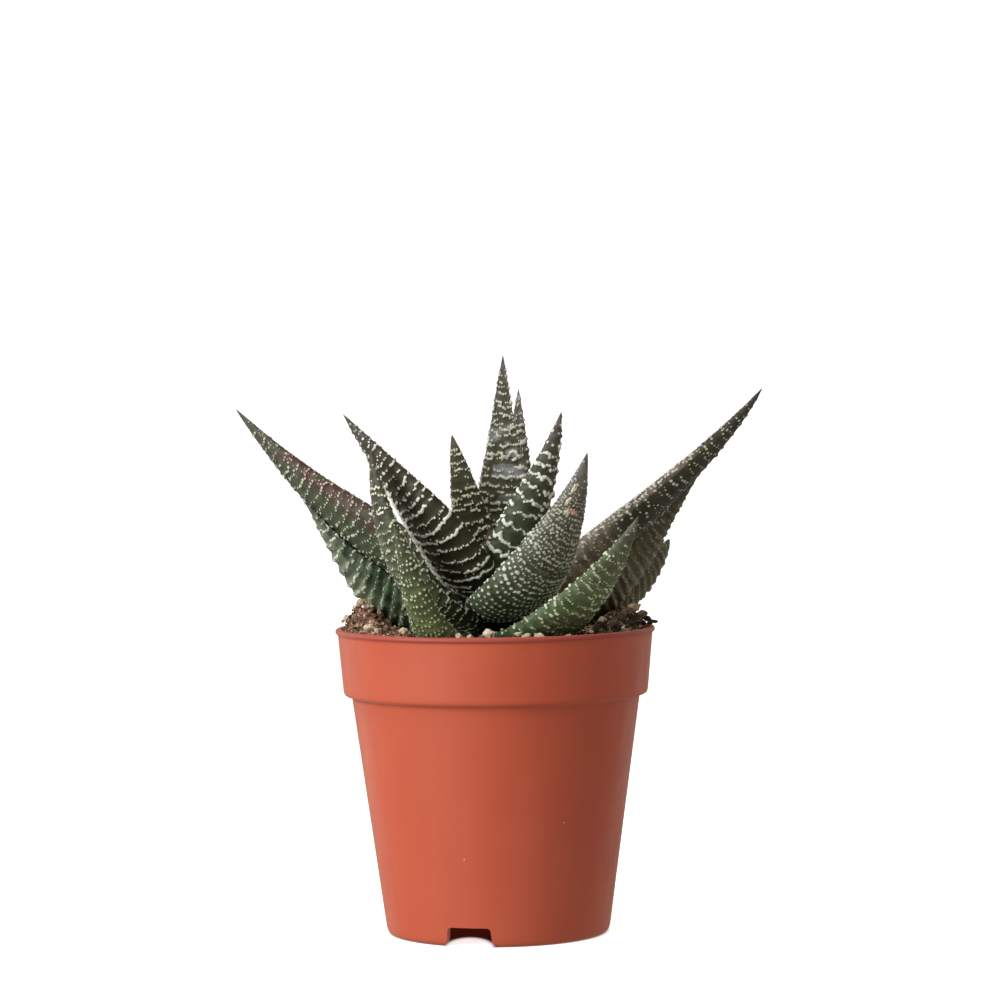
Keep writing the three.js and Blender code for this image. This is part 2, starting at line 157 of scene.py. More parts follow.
# Node materials
class Material:
    """A material whose nodes are added one by one."""

    def __init__(self, name):
        self.material = bpy.data.materials.new(name)
        self.material.use_nodes = True
        self.tree = self.material.node_tree
        self.tree.nodes.clear()

    def node(self, kind, inputs=None, **settings):
        node = self.tree.nodes.new(kind)
        for key, value in settings.items():
            setattr(node, key, value)
        for key, value in (inputs or {}).items():
            if isinstance(value, bpy.types.NodeSocket):
                self.tree.links.new(value, node.inputs[key])
            else:
                node.inputs[key].default_value = value
        return node

    def attribute(self, name):
        return self.node("ShaderNodeAttribute", attribute_name=name).outputs["Fac"]

    def place(self):
        return self.node("ShaderNodeTexCoord").outputs["Object"]

    def noise(self, scale, detail=3.0, roughness=0.55, place=None):
        node = self.node("ShaderNodeTexNoise", {
            "Vector": place or self.place(), "Scale": scale, "Detail": detail, "Roughness": roughness,
        })
        return node.outputs["Fac"]

    def stretched(self, x, y, z):
        return self.node("ShaderNodeMapping", {"Vector": self.place(), "Scale": (x, y, z)}).outputs["Vector"]

    def remap(self, value, low, high, to_low=0.0, to_high=1.0, smooth=True):
        node = self.node("ShaderNodeMapRange", {
            "Value": value, "From Min": low, "From Max": high, "To Min": to_low, "To Max": to_high,
        }, interpolation_type="SMOOTHSTEP" if smooth else "LINEAR")
        return node.outputs["Result"]

    def maths(self, operation, first, second):
        return self.node("ShaderNodeMath", {0: first, 1: second}, operation=operation).outputs[0]

    def mix(self, share, first, second, blend="MIX"):
        node = self.node("ShaderNodeMix", {0: share, 6: first, 7: second}, data_type="RGBA", blend_type=blend)
        return node.outputs[2]

    def ramp(self, value, stops):
        """A colour ramp from pairs of a position and a colour in 0 to 255 steps."""
        node = self.node("ShaderNodeValToRGB", {"Fac": value})
        elements = node.color_ramp.elements
        while len(elements) > 1:
            elements.remove(elements[-1])
        elements[0].position, elements[0].color = stops[0][0], srgb(*stops[0][1])
        for position, colour in stops[1:]:
            elements.new(position).color = srgb(*colour)
        return node.outputs["Color"]

    def bump(self, height, strength, distance, normal=None):
        inputs = {"Height": height, "Strength": strength, "Distance": distance}
        if normal is not None:
            inputs["Normal"] = normal
        return self.node("ShaderNodeBump", inputs).outputs["Normal"]

    def finish(self, **sockets):
        inputs = {key.replace("_", " "): value for key, value in sockets.items()}
        surface = self.node("ShaderNodeBsdfPrincipled", inputs)
        self.node("ShaderNodeOutputMaterial", {"Surface": surface.outputs["BSDF"]})
        return self.material


def make_piece(name, points, faces, attributes, uvs=None, smooth=True):
    """A mesh object from points in millimetres, with one number a point for each named attribute."""
    mesh = bpy.data.meshes.new(name)
    mesh.from_pydata((np.asarray(points) * MM).tolist(), [], faces)
    for key, values in attributes.items():
        layer = mesh.attributes.new(key, "FLOAT", "POINT")
        layer.data.foreach_set("value", np.asarray(values, np.float32))
    if uvs is not None:
        layer = mesh.uv_layers.new(name="OFBake")
        layer.data.foreach_set("uv", np.asarray(uvs, np.float32).ravel())
    if smooth:
        mesh.shade_smooth()
    mesh.validate()
    piece = bpy.data.objects.new(name, mesh)
    bpy.context.scene.collection.objects.link(piece)
    return piece


# Camera at the photograph's angle: a long lens a little above the rim, turned slightly about its own axis
def make_camera():
    place = Vector(CAMERA_PLACE) * MM
    aim = Vector(CAMERA_AIM) * MM
    ahead = (aim - place).normalized()
    right = ahead.cross(Vector((0, 0, 1))).normalized()
    up = right.cross(ahead)
    tilted = right * math.cos(CAMERA_TURN) - up * math.sin(CAMERA_TURN)
    back = -ahead
    axes = Matrix((tilted, back.cross(tilted), back)).transposed().to_4x4()
    data = bpy.data.cameras.new("camera")
    data.sensor_fit = "HORIZONTAL"
    data.sensor_width = 36
    data.lens = CAMERA_LENS
    data.clip_start, data.clip_end = 0.01, 20
    camera = bpy.data.objects.new("camera", data)
    camera.matrix_world = Matrix.Translation(place) @ axes
    bpy.context.scene.collection.objects.link(camera)
    bpy.context.scene.camera = camera


# Soft studio: a large soft light from the left, a weaker one above, a pale bowl all round
def make_light(name, place, aim, size, power, colour=(1, 1, 1)):
    data = bpy.data.lights.new(name, "AREA")
    data.shape = "RECTANGLE"
    data.size, data.size_y = size
    data.energy = power
    data.color = colour
    light = bpy.data.objects.new(name, data)
    light.location = place
    light.rotation_mode = "QUATERNION"
    light.rotation_quaternion = (Vector(aim) - Vector(place)).to_track_quat("-Z", "Y")
    bpy.context.scene.collection.objects.link(light)
    return light


def make_lights():
    make_light("key", (-0.68, -0.54, 0.40), (0, 0, 0.06), (0.45, 0.7), 8.2, (0.93, 0.965, 1))
    make_light("top", (-0.2, -0.1, 1.0), (0, 0, 0), (0.8, 0.8), 2.3)
    # Pale panels behind, seen only in what the edges reflect
    for name, across, power in (("panel_left", -0.9, 3.3), ("panel_right", 0.9, 1.4)):
        panel = make_light(name, (across, 0.75, 0.15), (0, 0, 0.05), (1, 1), power)
        panel.visible_diffuse = False
        panel.visible_camera = False
    world = bpy.data.worlds.new("studio")
    world.use_nodes = True
    background = world.node_tree.nodes["Background"]
    background.inputs["Color"].default_value = (1, 0.94, 0.84, 1)
    background.inputs["Strength"].default_value = 0.365
    bpy.context.scene.world = world
    bpy.context.scene.view_settings.view_transform = "Standard"


def ring_points(profile, columns, offset=0.0):
    """A ring of points round the Z axis for each radius and height of a profile."""
    points = []
    for radius, height in profile:
        for column in range(columns):
            angle = FULL_TURN * (column + offset) / columns
            points.append((radius * math.cos(angle), radius * math.sin(angle), height))
    return points


def make_floor():
    """A floor that bends up into a bowl all round."""
    profile = [(400, 0), (FLOOR_RADIUS, 0)]
    for step in range(1, 13):
        angle = math.radians(90 * step / 12)
        profile.append((FLOOR_RADIUS + BOWL_ROUND * math.sin(angle), BOWL_ROUND * (1 - math.cos(angle))))
    profile.append((FLOOR_RADIUS + BOWL_ROUND, BOWL_HEIGHT))
    points = [(0, 0, 0)] + ring_points(profile, FLOOR_COLUMNS)
    afters = [(column + 1) % FLOOR_COLUMNS for column in range(FLOOR_COLUMNS)]
    faces = [(0, 1 + column, 1 + after) for column, after in enumerate(afters)]
    for first in range(1, len(points) - FLOOR_COLUMNS, FLOOR_COLUMNS):
        for column, after in enumerate(afters):
            p, q = first + column, first + after
            faces.append((p, p + FLOOR_COLUMNS, q + FLOOR_COLUMNS, q))
    floor = make_piece("studio_floor", points, faces, {})
    floor.data.materials.append(floor_material())
    floor.visible_diffuse = False
    floor.visible_glossy = False


def floor_material():
    """Evenly glowing white paper, with a painted shadow under the pot except in its front notch: there it is
    dark brown and does not glow.
    """
    m = Material("studio_paper")
    colour = m.mix(m.noise(60, 2), (0.86, 0.86, 0.86, 1), (0.90, 0.90, 0.90, 1))
    level = m.node("ShaderNodeVectorMath", {0: m.stretched(1, 1, 0)}, operation="LENGTH").outputs["Value"]
    before_notch = m.node("ShaderNodeMapping", {
        "Vector": m.place(), "Location": (5.4 / 4.6, 20.3 / 12, 0), "Scale": (1000 / 4.6, 1000 / 12, 0)})
    mouth = m.node("ShaderNodeVectorMath", {0: before_notch.outputs["Vector"]}, operation="LENGTH")
    # Painted shadow: inside a disc about the size of the pot's foot, and away from the mouth of the front
    # notch, the paper turns dark brown and stops glowing.
    outside_painted_shadow = m.maths("MAXIMUM", m.remap(level, 0.0198, 0.0212), m.remap(mouth.outputs["Value"], 1.1, 0.8))
    colour = m.mix(outside_painted_shadow, (0.15, 0.07, 0.055, 1), colour)
    glow = m.mix(outside_painted_shadow, (0, 0, 0, 1), (1, 1, 1, 1))
    return m.finish(Base_Color=colour, Roughness=0.9, Specular_IOR_Level=0.1, Emission_Color=glow,
                    Emission_Strength=FLOOR_GLOW)


# How tubercles lie on a face: rows spacing apart, each broken into dashes with pauses between them, and
# tubercles pitch apart in a dash. Past fray, towards the tip, the dashes fall apart into single dots.
Rows = namedtuple(
    "Rows", "spacing pitch radius dash pause wobble bow loose fray specks rib slope wave refine",
    defaults=(0.15, 0.8, 0.12, 0.1, 0.0, 0.0, 0.0))
THICK_BANDS = Rows(1.85, 0.46, 0.35, dash=6.0, pause=0.30, wobble=0.16, bow=2.0, loose=0.12, fray=0.45,
                   rib=0.14, slope=-4.5)
CROSS_BANDS = Rows(2.50, 0.50, 0.45, dash=2.3, pause=0.32, wobble=0.24, bow=1.6, fray=0.74, rib=0.22,
                   wave=0.22)
HEART_BANDS = Rows(1.70, 0.50, 0.32, dash=2.2, pause=0.7, wobble=0.32, bow=0.6, loose=0.17, specks=0.3)
TALL_BANDS = Rows(1.50, 0.50, 0.38, dash=1.9, pause=0.60, wobble=0.26, bow=0.9, loose=0.12, fray=0.85,
                  wave=0.12)
SLIM_BANDS = Rows(1.60, 0.48, 0.29, dash=2.0, pause=0.55, wobble=0.25, bow=1.0, specks=0.2)
THIN_BANDS = Rows(2.05, 0.62, 0.32, dash=3.0, pause=0.75, wobble=0.26, bow=4.0, loose=0.14, specks=0.15,
                  slope=-12.0, wave=0.15)
SCALES = Rows(2.35, 0.46, 0.31, dash=3.8, pause=0.6, wobble=0.22, bow=3.4, loose=0.13, rib=0.85, slope=-3.0,
              wave=0.24)
PEARLS = Rows(1.24, 1.08, 0.42, dash=60, pause=1.0, wobble=0.05, bow=3.0, loose=0.12, fray=0.78, specks=0.0,
              rib=0.0, refine=0.30)
FRONT_CHAINS = Rows(2.00, 0.80, 0.36, dash=3.2, pause=0.7, wobble=0.2, bow=1.6, loose=0.12, fray=0.75,
                    specks=0.25, rib=0.2, wave=0.18, refine=0.2)
FINE_DOTS = Rows(1.50, 0.82, 0.30, dash=3.5, pause=0.7, wobble=0.14, bow=1.4, fray=0.85)
BARS = Rows(1.45, 0.50, 0.29, dash=1.4, pause=0.65, wobble=0.22, bow=1.4, rib=0.16)
SPARSE_DOTS = Rows(1.85, 0.68, 0.30, dash=2.3, pause=0.9, wobble=0.28, bow=1.8, fray=0.85)
FAINT_STREAKS = Rows(1.75, 0.46, 0.25, dash=3.4, pause=0.8, wobble=0.2, bow=2.0, loose=0.10, specks=0.2,
                     rib=0.45, slope=-3.0, wave=0.12)
BACK_DOTS = Rows(1.70, 0.80, 0.33, dash=2.6, pause=0.9, wobble=0.24, bow=1.0)

# A leaf's colours at five places from its root to its tip, those of its tubercles, of a strip and of a patch,
# and how its tubercles fade: between which places along it, and to what share.
# A strip is the leaf's own reddish or pale tint, except on leaf_low_left, where it is painted shadow.
Look = namedtuple("Look", "root low middle high tip pearl strip strip_pearl patch fade",
                  defaults=((222, 222, 196), None, None, None, (0.86, 1.0, 0.7)))

# A leaf's root (its azimuth, its height and the azimuth that its face follows), greatest width and depth, two
# points that bend it, tip and colours; then its roll about its own length, taper, rings and columns of its
# mesh, rows on its outer and inner face, lines of tubercles along its margins (angle, pitch, radius, start,
# end), a strip (angle, reach, start, end) and scars (place, angle, length, width, lean, 1 where pink).
Leaf = namedtuple("Leaf", "name root size bend tip look roll taper mesh rows edges strip scars",
                  defaults=(0, 1.5, (100, 84), (BACK_DOTS, BACK_DOTS), (), None, ()))


def both_margins(pitch, radius, start, end):
    """The same line of tubercles along a leaf's left and right margin."""
    return ((3.14, pitch, radius, start, end), (0, pitch, radius, start, end))


# The leaves, from the heart of the rosette outwards
LEAVES = [
    Leaf("leaf_heart", root=(240, 65.2, 80), size=(6, 1.8), bend=((0, -0.6, 69), (-0.5, 0.5, 72)),
         tip=(-0.8, 1.6, 76), mesh=(60, 56), rows=(BARS, BARS),
         look=Look((70, 48, 44), (96, 60, 54), (110, 70, 60), (98, 78, 66), (90, 80, 72), (206, 176, 160))),
    Leaf("leaf_young", root=(150, 64.8, 100), size=(8.5, 2.6), bend=((-2.5, 3, 69), (-6, 5, 85)),
         tip=(-7.8, 7, 93.4), mesh=(120, 88), rows=(HEART_BANDS, HEART_BANDS),
         edges=both_margins(1.0, 0.25, 0.2, 0.93),
         look=Look((36, 38, 24), (42, 42, 22), (52, 54, 30), (76, 78, 56), (88, 84, 72), (238, 234, 206))),
    Leaf("leaf_upright_right", root=(315, 64, 300), size=(12, 3.6), bend=((0, -7, 71), (8.5, -9, 80)),
         tip=(12.8, -5, 97.6), mesh=(180, 116), rows=(CROSS_BANDS, CROSS_BANDS),
         edges=((3.14, 0.95, 0.30, 0.2, 0.9), (0, 1.0, 0.28, 0.2, 0.9)),
         look=Look((36, 40, 26), (60, 70, 48), (76, 86, 62), (84, 84, 68), (98, 92, 84), (244, 246, 232))),
    Leaf("leaf_tall", root=(90, 63.5, 92), size=(12, 3.2), bend=((2.5, 10, 80), (1.5, 12, 81.5)),
         tip=(2.1, 14, 108.5), mesh=(200, 100), rows=(TALL_BANDS, TALL_BANDS),
         edges=both_margins(0.9, 0.25, 0.2, 0.93),
         look=Look((40, 40, 24), (50, 50, 31), (76, 76, 54), (88, 85, 67), (100, 96, 88), (228, 228, 208),
                   patch=(140, 142, 142))),
    Leaf("leaf_tall_behind", root=(65, 62, 80), size=(8, 2.6), bend=((6, 18, 71), (4.5, 25, 84)),
         tip=(5.1, 26, 102), taper=1.6, mesh=(140, 80), rows=(TALL_BANDS, TALL_BANDS),
         edges=both_margins(0.9, 0.22, 0.3, 0.93),
         look=Look((44, 40, 28), (62, 56, 42), (62, 57, 43), (72, 68, 56), (94, 90, 82), (194, 190, 172))),
    Leaf("leaf_broad_left", root=(215, 62.5, 205), size=(14.5, 4), bend=((-9.5, -11, 77), (-12.5, -11, 79)),
         tip=(-27.8, -6, 97.6), roll=20, taper=1.52, mesh=(215, 116), rows=(THICK_BANDS, THICK_BANDS),
         edges=((3.92, 0.45, 0.62, 0.14, 0.80), (4.06, 0.50, 0.56, 0.14, 0.72), (0, 1.1, 0.28, 0.3, 0.9)),
         look=Look((40, 38, 22), (52, 50, 34), (50, 47, 33), (66, 60, 48), (78, 72, 66), (246, 244, 226))),
    Leaf("leaf_front", root=(285, 61, 300), size=(16.5, 4.3), bend=((2, -17, 66), (11, -20, 67.5)),
         tip=(17.3, -15, 90.1), taper=1.7, mesh=(220, 140), rows=(PEARLS, PEARLS),
         edges=((3.14, 0.95, 0.23, 0.2, 0.93), (0, 0.8, 0.24, 0.2, 0.93)),
         scars=((0.885, 4.15, 2.7, 0.65, 0.25, 0), (0.842, 4.12, 2.0, 0.65, 0.4, 0),
                (0.812, 4.62, 1.0, 2.5, 0.1, 1), (0.802, 4.32, 0.8, 1.6, 0.0, 0)),
         look=Look((76, 84, 59), (86, 101, 74), (94, 100, 77), (102, 99, 82), (112, 107, 101),
                   (246, 250, 234), fade=(0.42, 0.74, 0.56))),
    Leaf("leaf_back_left", root=(150, 61, 125), size=(11.5, 3.4), bend=((-6, 14, 66), (-11, 24, 73.5)),
         tip=(-13, 31, 78.5), taper=1.4,
         look=Look((44, 50, 38), (62, 78, 56), (72, 88, 62), (88, 90, 70), (104, 98, 88))),
    Leaf("leaf_back", root=(100, 60.5, 92), size=(11, 3.2), bend=((0.5, 20, 62), (1, 30, 78)),
         tip=(1.5, 33, 92), taper=1.4, mesh=(130, 84), rows=(BACK_DOTS, SLIM_BANDS),
         look=Look((44, 50, 38), (60, 76, 56), (70, 86, 62), (88, 90, 72), (106, 100, 92))),
    Leaf("leaf_far_right", root=(0, 59.5, 2), size=(12.2, 3.9), bend=((10.5, -2, 66.5), (38, -6, 86)),
         tip=(49.7, -12, 101.6), roll=-33, mesh=(240, 104), rows=(SPARSE_DOTS, FINE_DOTS),
         edges=((2.95, 0.8, 0.24, 0.25, 0.7), (3.14, 0.7, 0.28, 0.25, 0.95), (3.32, 0.7, 0.26, 0.25, 0.75),
                (3.5, 0.9, 0.2, 0.3, 0.6), (0, 0.8, 0.2, 0.3, 0.9)), strip=(3.2, 0.42, 0.15, 0.82),
         look=Look((140, 128, 104), (150, 139, 115), (54, 53, 39), (64, 63, 49), (78, 75, 67),
                   (212, 210, 192), strip=(132, 122, 108), strip_pearl=(214, 204, 194))),
    Leaf("leaf_far_left", root=(180, 59, 178), size=(14.5, 3.8), bend=((-19, 4, 73.5), (-30, 8, 77)),
         tip=(-49.2, 14, 98.7), roll=49, mesh=(235, 112), rows=(THIN_BANDS, FINE_DOTS),
         edges=((4.05, 0.9, 0.27, 0.3, 0.72), (5.5, 0.85, 0.19, 0.3, 0.9), (5.75, 0.8, 0.19, 0.3, 0.9),
                (6.0, 0.8, 0.19, 0.3, 0.92), (0, 0.7, 0.2, 0.3, 0.93)), strip=(5.8, 0.6, 0.25, 0.92),
         look=Look((40, 46, 30), (40, 47, 28), (78, 87, 64), (80, 80, 62), (78, 75, 68), (222, 224, 200),
                   strip=(78, 50, 42), strip_pearl=(206, 178, 164))),
    Leaf("leaf_slim_left", root=(230, 59, 215), size=(10.5, 3.2), bend=((-14, -16, 60.5), (-20, -18, 74)),
         tip=(-22.5, -13, 91.3), taper=1.7, mesh=(190, 92), rows=(SLIM_BANDS, SLIM_BANDS),
         edges=((3.14, 1.1, 0.22, 0.25, 0.9), (0, 0.95, 0.27, 0.25, 0.9)),
         look=Look((30, 30, 22), (46, 50, 34), (92, 100, 72), (64, 65, 47), (74, 70, 58), (232, 232, 206))),
    Leaf("leaf_back_right_short", root=(28, 58.5, 45), size=(9.5, 2.8),
         bend=((8.5, 12, 63.5), (16, 20, 66.5)), tip=(19.5, 23, 74), taper=1.4, mesh=(90, 72),
         look=Look((60, 60, 46), (96, 96, 72), (118, 112, 90), (124, 112, 94), (120, 108, 98))),
    Leaf("leaf_back_right", root=(70, 58.5, 60), size=(11, 3.2), bend=((5, 20, 61), (12, 29, 69.5)),
         tip=(14, 33.5, 77.5), taper=1.4,
         look=Look((44, 50, 38), (64, 82, 58), (74, 92, 66), (90, 94, 76), (108, 100, 92))),
    Leaf("leaf_back_left_low", root=(160, 57, 142), size=(11, 3), bend=((-8.5, 15, 62), (-17.5, 27, 66)),
         tip=(-21, 33, 72), taper=1.4, rows=(FINE_DOTS, BACK_DOTS),
         look=Look((44, 50, 40), (60, 80, 64), (70, 90, 70), (86, 92, 76), (104, 100, 92))),
    Leaf("leaf_back_low", root=(100, 56, 100), size=(11, 3), bend=((-0.5, 18, 61), (-2.5, 29, 65)),
         tip=(-4, 34, 72.5), taper=1.4, rows=(BARS, BACK_DOTS),
         look=Look((44, 50, 38), (66, 84, 58), (78, 94, 64), (94, 96, 74), (110, 102, 92))),
    Leaf("leaf_front_left", root=(250, 56, 235), size=(10, 3.2), bend=((-11.5, -20, 50.5), (-12.8, -31, 63)),
         tip=(-17.8, -34, 78), mesh=(190, 100), rows=(FINE_DOTS, BACK_DOTS),
         edges=both_margins(0.9, 0.2, 0.25, 0.9),
         look=Look((100, 114, 66), (118, 134, 76), (98, 110, 65), (76, 85, 53), (90, 88, 70),
                   (226, 232, 198))),
    Leaf("leaf_right_under", root=(0, 55.8, 8), size=(12.5, 3.3), bend=((23.5, 2, 60.5), (26, 4, 73)),
         tip=(39, 7, 85.4), roll=-43, taper=1.75, mesh=(160, 92), rows=(FAINT_STREAKS, FINE_DOTS),
         edges=((0, 0.8, 0.22, 0.25, 0.92), (5.5, 0.9, 0.2, 0.25, 0.9)),
         look=Look((56, 50, 32), (78, 72, 50), (100, 94, 66), (74, 68, 44), (72, 68, 50), (170, 166, 140))),
    Leaf("leaf_back_right_low", root=(35, 55.5, 35), size=(10, 3), bend=((12.5, 18, 62), (20, 29, 66.5)),
         tip=(24, 34, 72), taper=1.4, mesh=(100, 76), rows=(FINE_DOTS, BACK_DOTS),
         look=Look((44, 48, 38), (64, 78, 58), (74, 88, 66), (90, 90, 76), (108, 102, 94))),
    Leaf("leaf_front_right", root=(305, 55.5, 312), size=(15, 3.6), bend=((4, -20, 55), (18, -25, 62)),
         tip=(26.2, -24, 78.7), roll=-5, taper=1.65, mesh=(190, 104), rows=(FRONT_CHAINS, BACK_DOTS),
         edges=both_margins(0.9, 0.22, 0.25, 0.92),
         look=Look((36, 52, 45), (66, 84, 60), (88, 104, 68), (96, 104, 74), (104, 104, 88),
                   (218, 230, 188))),
    # Its strip is painted shadow: a dark green band with dimmed tubercles, where leaf_far_left overhangs and
    # shades it.
    Leaf("leaf_low_left", root=(185, 55, 172), size=(13.8, 3.6), bend=((-19.5, 6, 59.5), (-24, 10, 65)),
         tip=(-36.0, 9, 81.8), roll=38, taper=1.7, mesh=(170, 100), rows=(SCALES, FINE_DOTS),
         edges=((4.05, 0.7, 0.30, 0.25, 0.9), (3.7, 0.8, 0.26, 0.25, 0.9)), strip=(5.75, 0.55, 0.12, 0.98),
         look=Look((74, 84, 60), (98, 112, 82), (112, 126, 97), (116, 124, 103), (106, 108, 94),
                   (232, 236, 216), strip=(44, 60, 40), strip_pearl=(150, 164, 138))),
    Leaf("leaf_low_right", root=(15, 52.5, 24), size=(11.5, 3.3), bend=((21.5, 12, 56.5), (31, 19, 68.5)),
         tip=(34, 21, 72.5), roll=-46, taper=1.8, mesh=(130, 84), rows=(FAINT_STREAKS, FINE_DOTS),
         edges=((0, 0.8, 0.22, 0.25, 0.92), (5.5, 0.9, 0.2, 0.25, 0.9)),
         look=Look((60, 60, 40), (82, 80, 54), (92, 90, 62), (80, 77, 52), (78, 74, 54), (184, 182, 156))),
]


def unit(vectors):
    return vectors / np.maximum(np.linalg.norm(vectors, axis=-1, keepdims=True), 1e-9)


def width_share(leaf, t):
    """Share of the greatest width: narrow at the stem, full over the lower third, then a straight taper."""
    s = np.minimum(t / SHOULDER, 1)
    rise = ROOT_WIDTH_SHARE + (1 - ROOT_WIDTH_SHARE) * s * (2 - s)
    fall = np.maximum((1 - t) ** TIP_BLUNTNESS * leaf.taper, 1e-4)
    return rise / (1 + fall ** -6.0) ** (1 / 6)


def leaf_axes(leaf, t):
    """Centre, tangent, side and face of the leaf at each t, face towards the heart."""
    azimuth, facing, roll = (math.radians(angle) for angle in (leaf.root[0], leaf.root[2], leaf.roll))
    root = (STEM_X + LEAF_ROOT_RADIUS * math.cos(azimuth), LEAF_ROOT_RADIUS * math.sin(azimuth), leaf.root[1])
    p0, p1, p2, p3 = (np.array(p, float) for p in (root, *leaf.bend, leaf.tip))
    u = np.asarray(t, float)[..., None]
    v = 1 - u
    centre = v ** 3 * p0 + 3 * v * v * u * p1 + 3 * v * u * u * p2 + u ** 3 * p3
    along = unit(v * v * (p1 - p0) + 2 * v * u * (p2 - p1) + u * u * (p3 - p2))
    across = np.array([-math.sin(facing), math.cos(facing), 0.0])
    side = unit(across - along * (along @ across)[..., None])
    face = np.cross(along, side)
    return (centre, along, side * math.cos(roll) + face * math.sin(roll),
            face * math.cos(roll) - side * math.sin(roll))


def leaf_surface(leaf, t, theta):
    """Points of the bare leaf, without tubercles."""
    centre, _, side, face = leaf_axes(leaf, t)
    width, depth = leaf.size
    share = width_share(leaf, t)
    sine = np.sin(theta)
    x = width / 2 * share * np.cos(theta)
    reach = np.where(sine > 0, UPPER_FACE_SWELL * share, depth * share ** DEPTH_TAPER)
    y = reach * np.sign(sine) * np.abs(sine) ** 0.9
    return centre + side * x[..., None] + face * y[..., None]


def lengths_along(points):
    steps = np.linalg.norm(np.diff(points, axis=0), axis=-1)
    return np.concatenate([[0], np.cumsum(steps)])


def middle_line(leaf):
    """The length of the leaf's middle line, and a function that gives the t at a distance along it."""
    t = np.linspace(0, 1, 241)
    distance = lengths_along(leaf_axes(leaf, t)[0])
    return distance[-1], lambda s: float(np.interp(s, distance, t))


def even_angles(leaf, count):
    """Angles that divide the leaf's girth into equal steps."""
    theta = np.linspace(0, FULL_TURN, 721)
    girth = lengths_along(leaf_surface(leaf, np.full(721, 0.3), theta))
    return np.interp(np.arange(count) / count * girth[-1], girth, theta)


def finer(rows, t):
    """How much smaller and closer together a face's tubercles get beyond its middle."""
    return 1 - rows.refine * float(smoothstep(t, 0.32, 0.6))


def row_places(leaf, rows, seed):
    """How far along the leaf's middle line each row of tubercles lies."""
    random = np.random.default_rng(seed)
    length, t_at = middle_line(leaf)
    places = []
    s = length * FIRST_ROW_SHARE
    while s < length - LAST_ROW_GAP:
        places.append(s)
        t_row = t_at(s)
        share = float(width_share(leaf, t_row))
        step = rows.spacing * finer(rows, t_row) * (0.7 + 0.3 * min(share * 1.4, 1))
        s += step * random.uniform(0.82, 1.18)
    return places


def bowed(rows, share, u, t):
    """How far a row lies off a straight one, towards the tip, at the share u of the way across a face."""
    climb = rows.slope * (u - 0.5) * (1 - smoothstep(t, 0.3, 0.85))
    return share * (rows.bow * ((2 * u - 1) ** 2 - 0.4) + climb)


def both_faces(leaf, seed):
    """The leaf's outer and inner face: the rows on each, the angle where it starts, and its own seed."""
    outer, inner = leaf.rows
    return (outer, math.pi, seed * 10), (inner, 0, seed * 10 + 5)


def place_tubercles(leaf, rows, face_start, seed):
    """Rows of tubercles over one face: for each its t, its angle and its radius."""
    random = np.random.default_rng(seed)
    length, t_at = middle_line(leaf)
    last_t = t_at(length - LAST_TUBERCLE_GAP)
    theta_fine = np.linspace(face_start, face_start + math.pi, 61)
    broken = rows.dash < 10
    placed = []
    for s in row_places(leaf, rows, seed):
        t_row = t_at(s)
        share = float(width_share(leaf, t_row))
        girth = lengths_along(leaf_surface(leaf, np.full(61, t_row), theta_fine))
        small = (0.78 + 0.22 * min(share * 1.5, 1)) * finer(rows, t_row)
        pitch = rows.pitch * small * finer(rows, t_row)
        frayed = float(smoothstep(t_row, rows.fray, rows.fray + 0.16))
        longest = min(rows.dash, girth[-1])
        cursor = random.uniform(-longest, rows.pause) if broken else random.uniform(-0.5, 0.4) * rows.pitch
        phase = random.uniform(0, FULL_TURN)
        while cursor < girth[-1]:
            stretch = random.uniform(0.35, 1.6) if broken else 1.6
            dash = longest * stretch * (1 - 0.9 * frayed)
            shift, slant = random.normal(0, rows.wobble), random.normal(0, 0.12)
            swell = random.uniform(0.70, 1.15)
            for spot in np.arange(cursor, cursor + dash + 0.01, pitch):
                spot += random.uniform(-0.16, 0.16) * rows.pitch
                if not 0 <= spot <= girth[-1]:
                    continue
                lean = slant * (spot - cursor - dash / 2) if broken else 0.0
                lean += rows.wave * math.sin(phase + FULL_TURN * spot / 2.1)
                here = s + shift + lean + bowed(rows, share, spot / girth[-1], t_row)
                here += random.normal(0, rows.loose)
                radius = rows.radius * (swell * small * random.uniform(0.78, 1.15))
                angle = float(np.interp(spot, girth, theta_fine))
                placed.append((t_at(here), angle, radius))
                if random.uniform() < rows.specks:
                    stray = here + random.choice((-1, 1)) * random.uniform(0.35, 0.8)
                    placed.append((t_at(stray), angle, radius * 0.55))
            cursor += max(dash, rows.pitch) + rows.pause * random.uniform(0.3, 1.7) * (1 + 0.7 * frayed)
    return [knob for knob in placed if knob[0] < last_t]


def edge_tubercles(leaf, seed):
    """Tubercles in the loose lines along the leaf's margins: for each its t, its angle and its radius."""
    random = np.random.default_rng(seed)
    length, t_at = middle_line(leaf)
    placed = []
    for angle, pitch, radius, start, end in leaf.edges:
        s = length * start
        while s < length * end:
            t_here = t_at(s)
            fading = 1 - 0.45 * smoothstep(t_here, 0.55, 0.95)
            angle_here = angle + random.normal(0, 0.07)
            placed.append((t_here, angle_here, radius * random.uniform(0.65, 1.15) * fading))
            s += pitch * random.uniform(0.6, 1.5)
    return placed


def about_leaf(leaf, points, wanted, samples):
    """The wanted points near a leaf: their indices, the nearest sample of its middle line, the side and face
    axes there, how far off they lie along both, and how far the leaf reaches along both."""
    t = np.linspace(0, 1, samples)
    centre, _, side, face = leaf_axes(leaf, t)
    width, depth = leaf.size
    inside_box = ((points > centre.min(0) - width) & (points < centre.max(0) + width)).all(1)
    near = np.flatnonzero(inside_box & wanted)
    span = points[near][:, None, :] - centre[None]
    k = (span ** 2).sum(-1).argmin(1)
    span = span[np.arange(len(near)), k]
    side, face, share = side[k], face[k], width_share(leaf, t)[k]
    x, y = (span * side).sum(-1), (span * face).sum(-1)
    deep = np.where(y > 0, UPPER_FACE_SWELL * share, depth * share ** DEPTH_TAPER)
    return near, k, side, face, x, y, width / 2 * share, deep


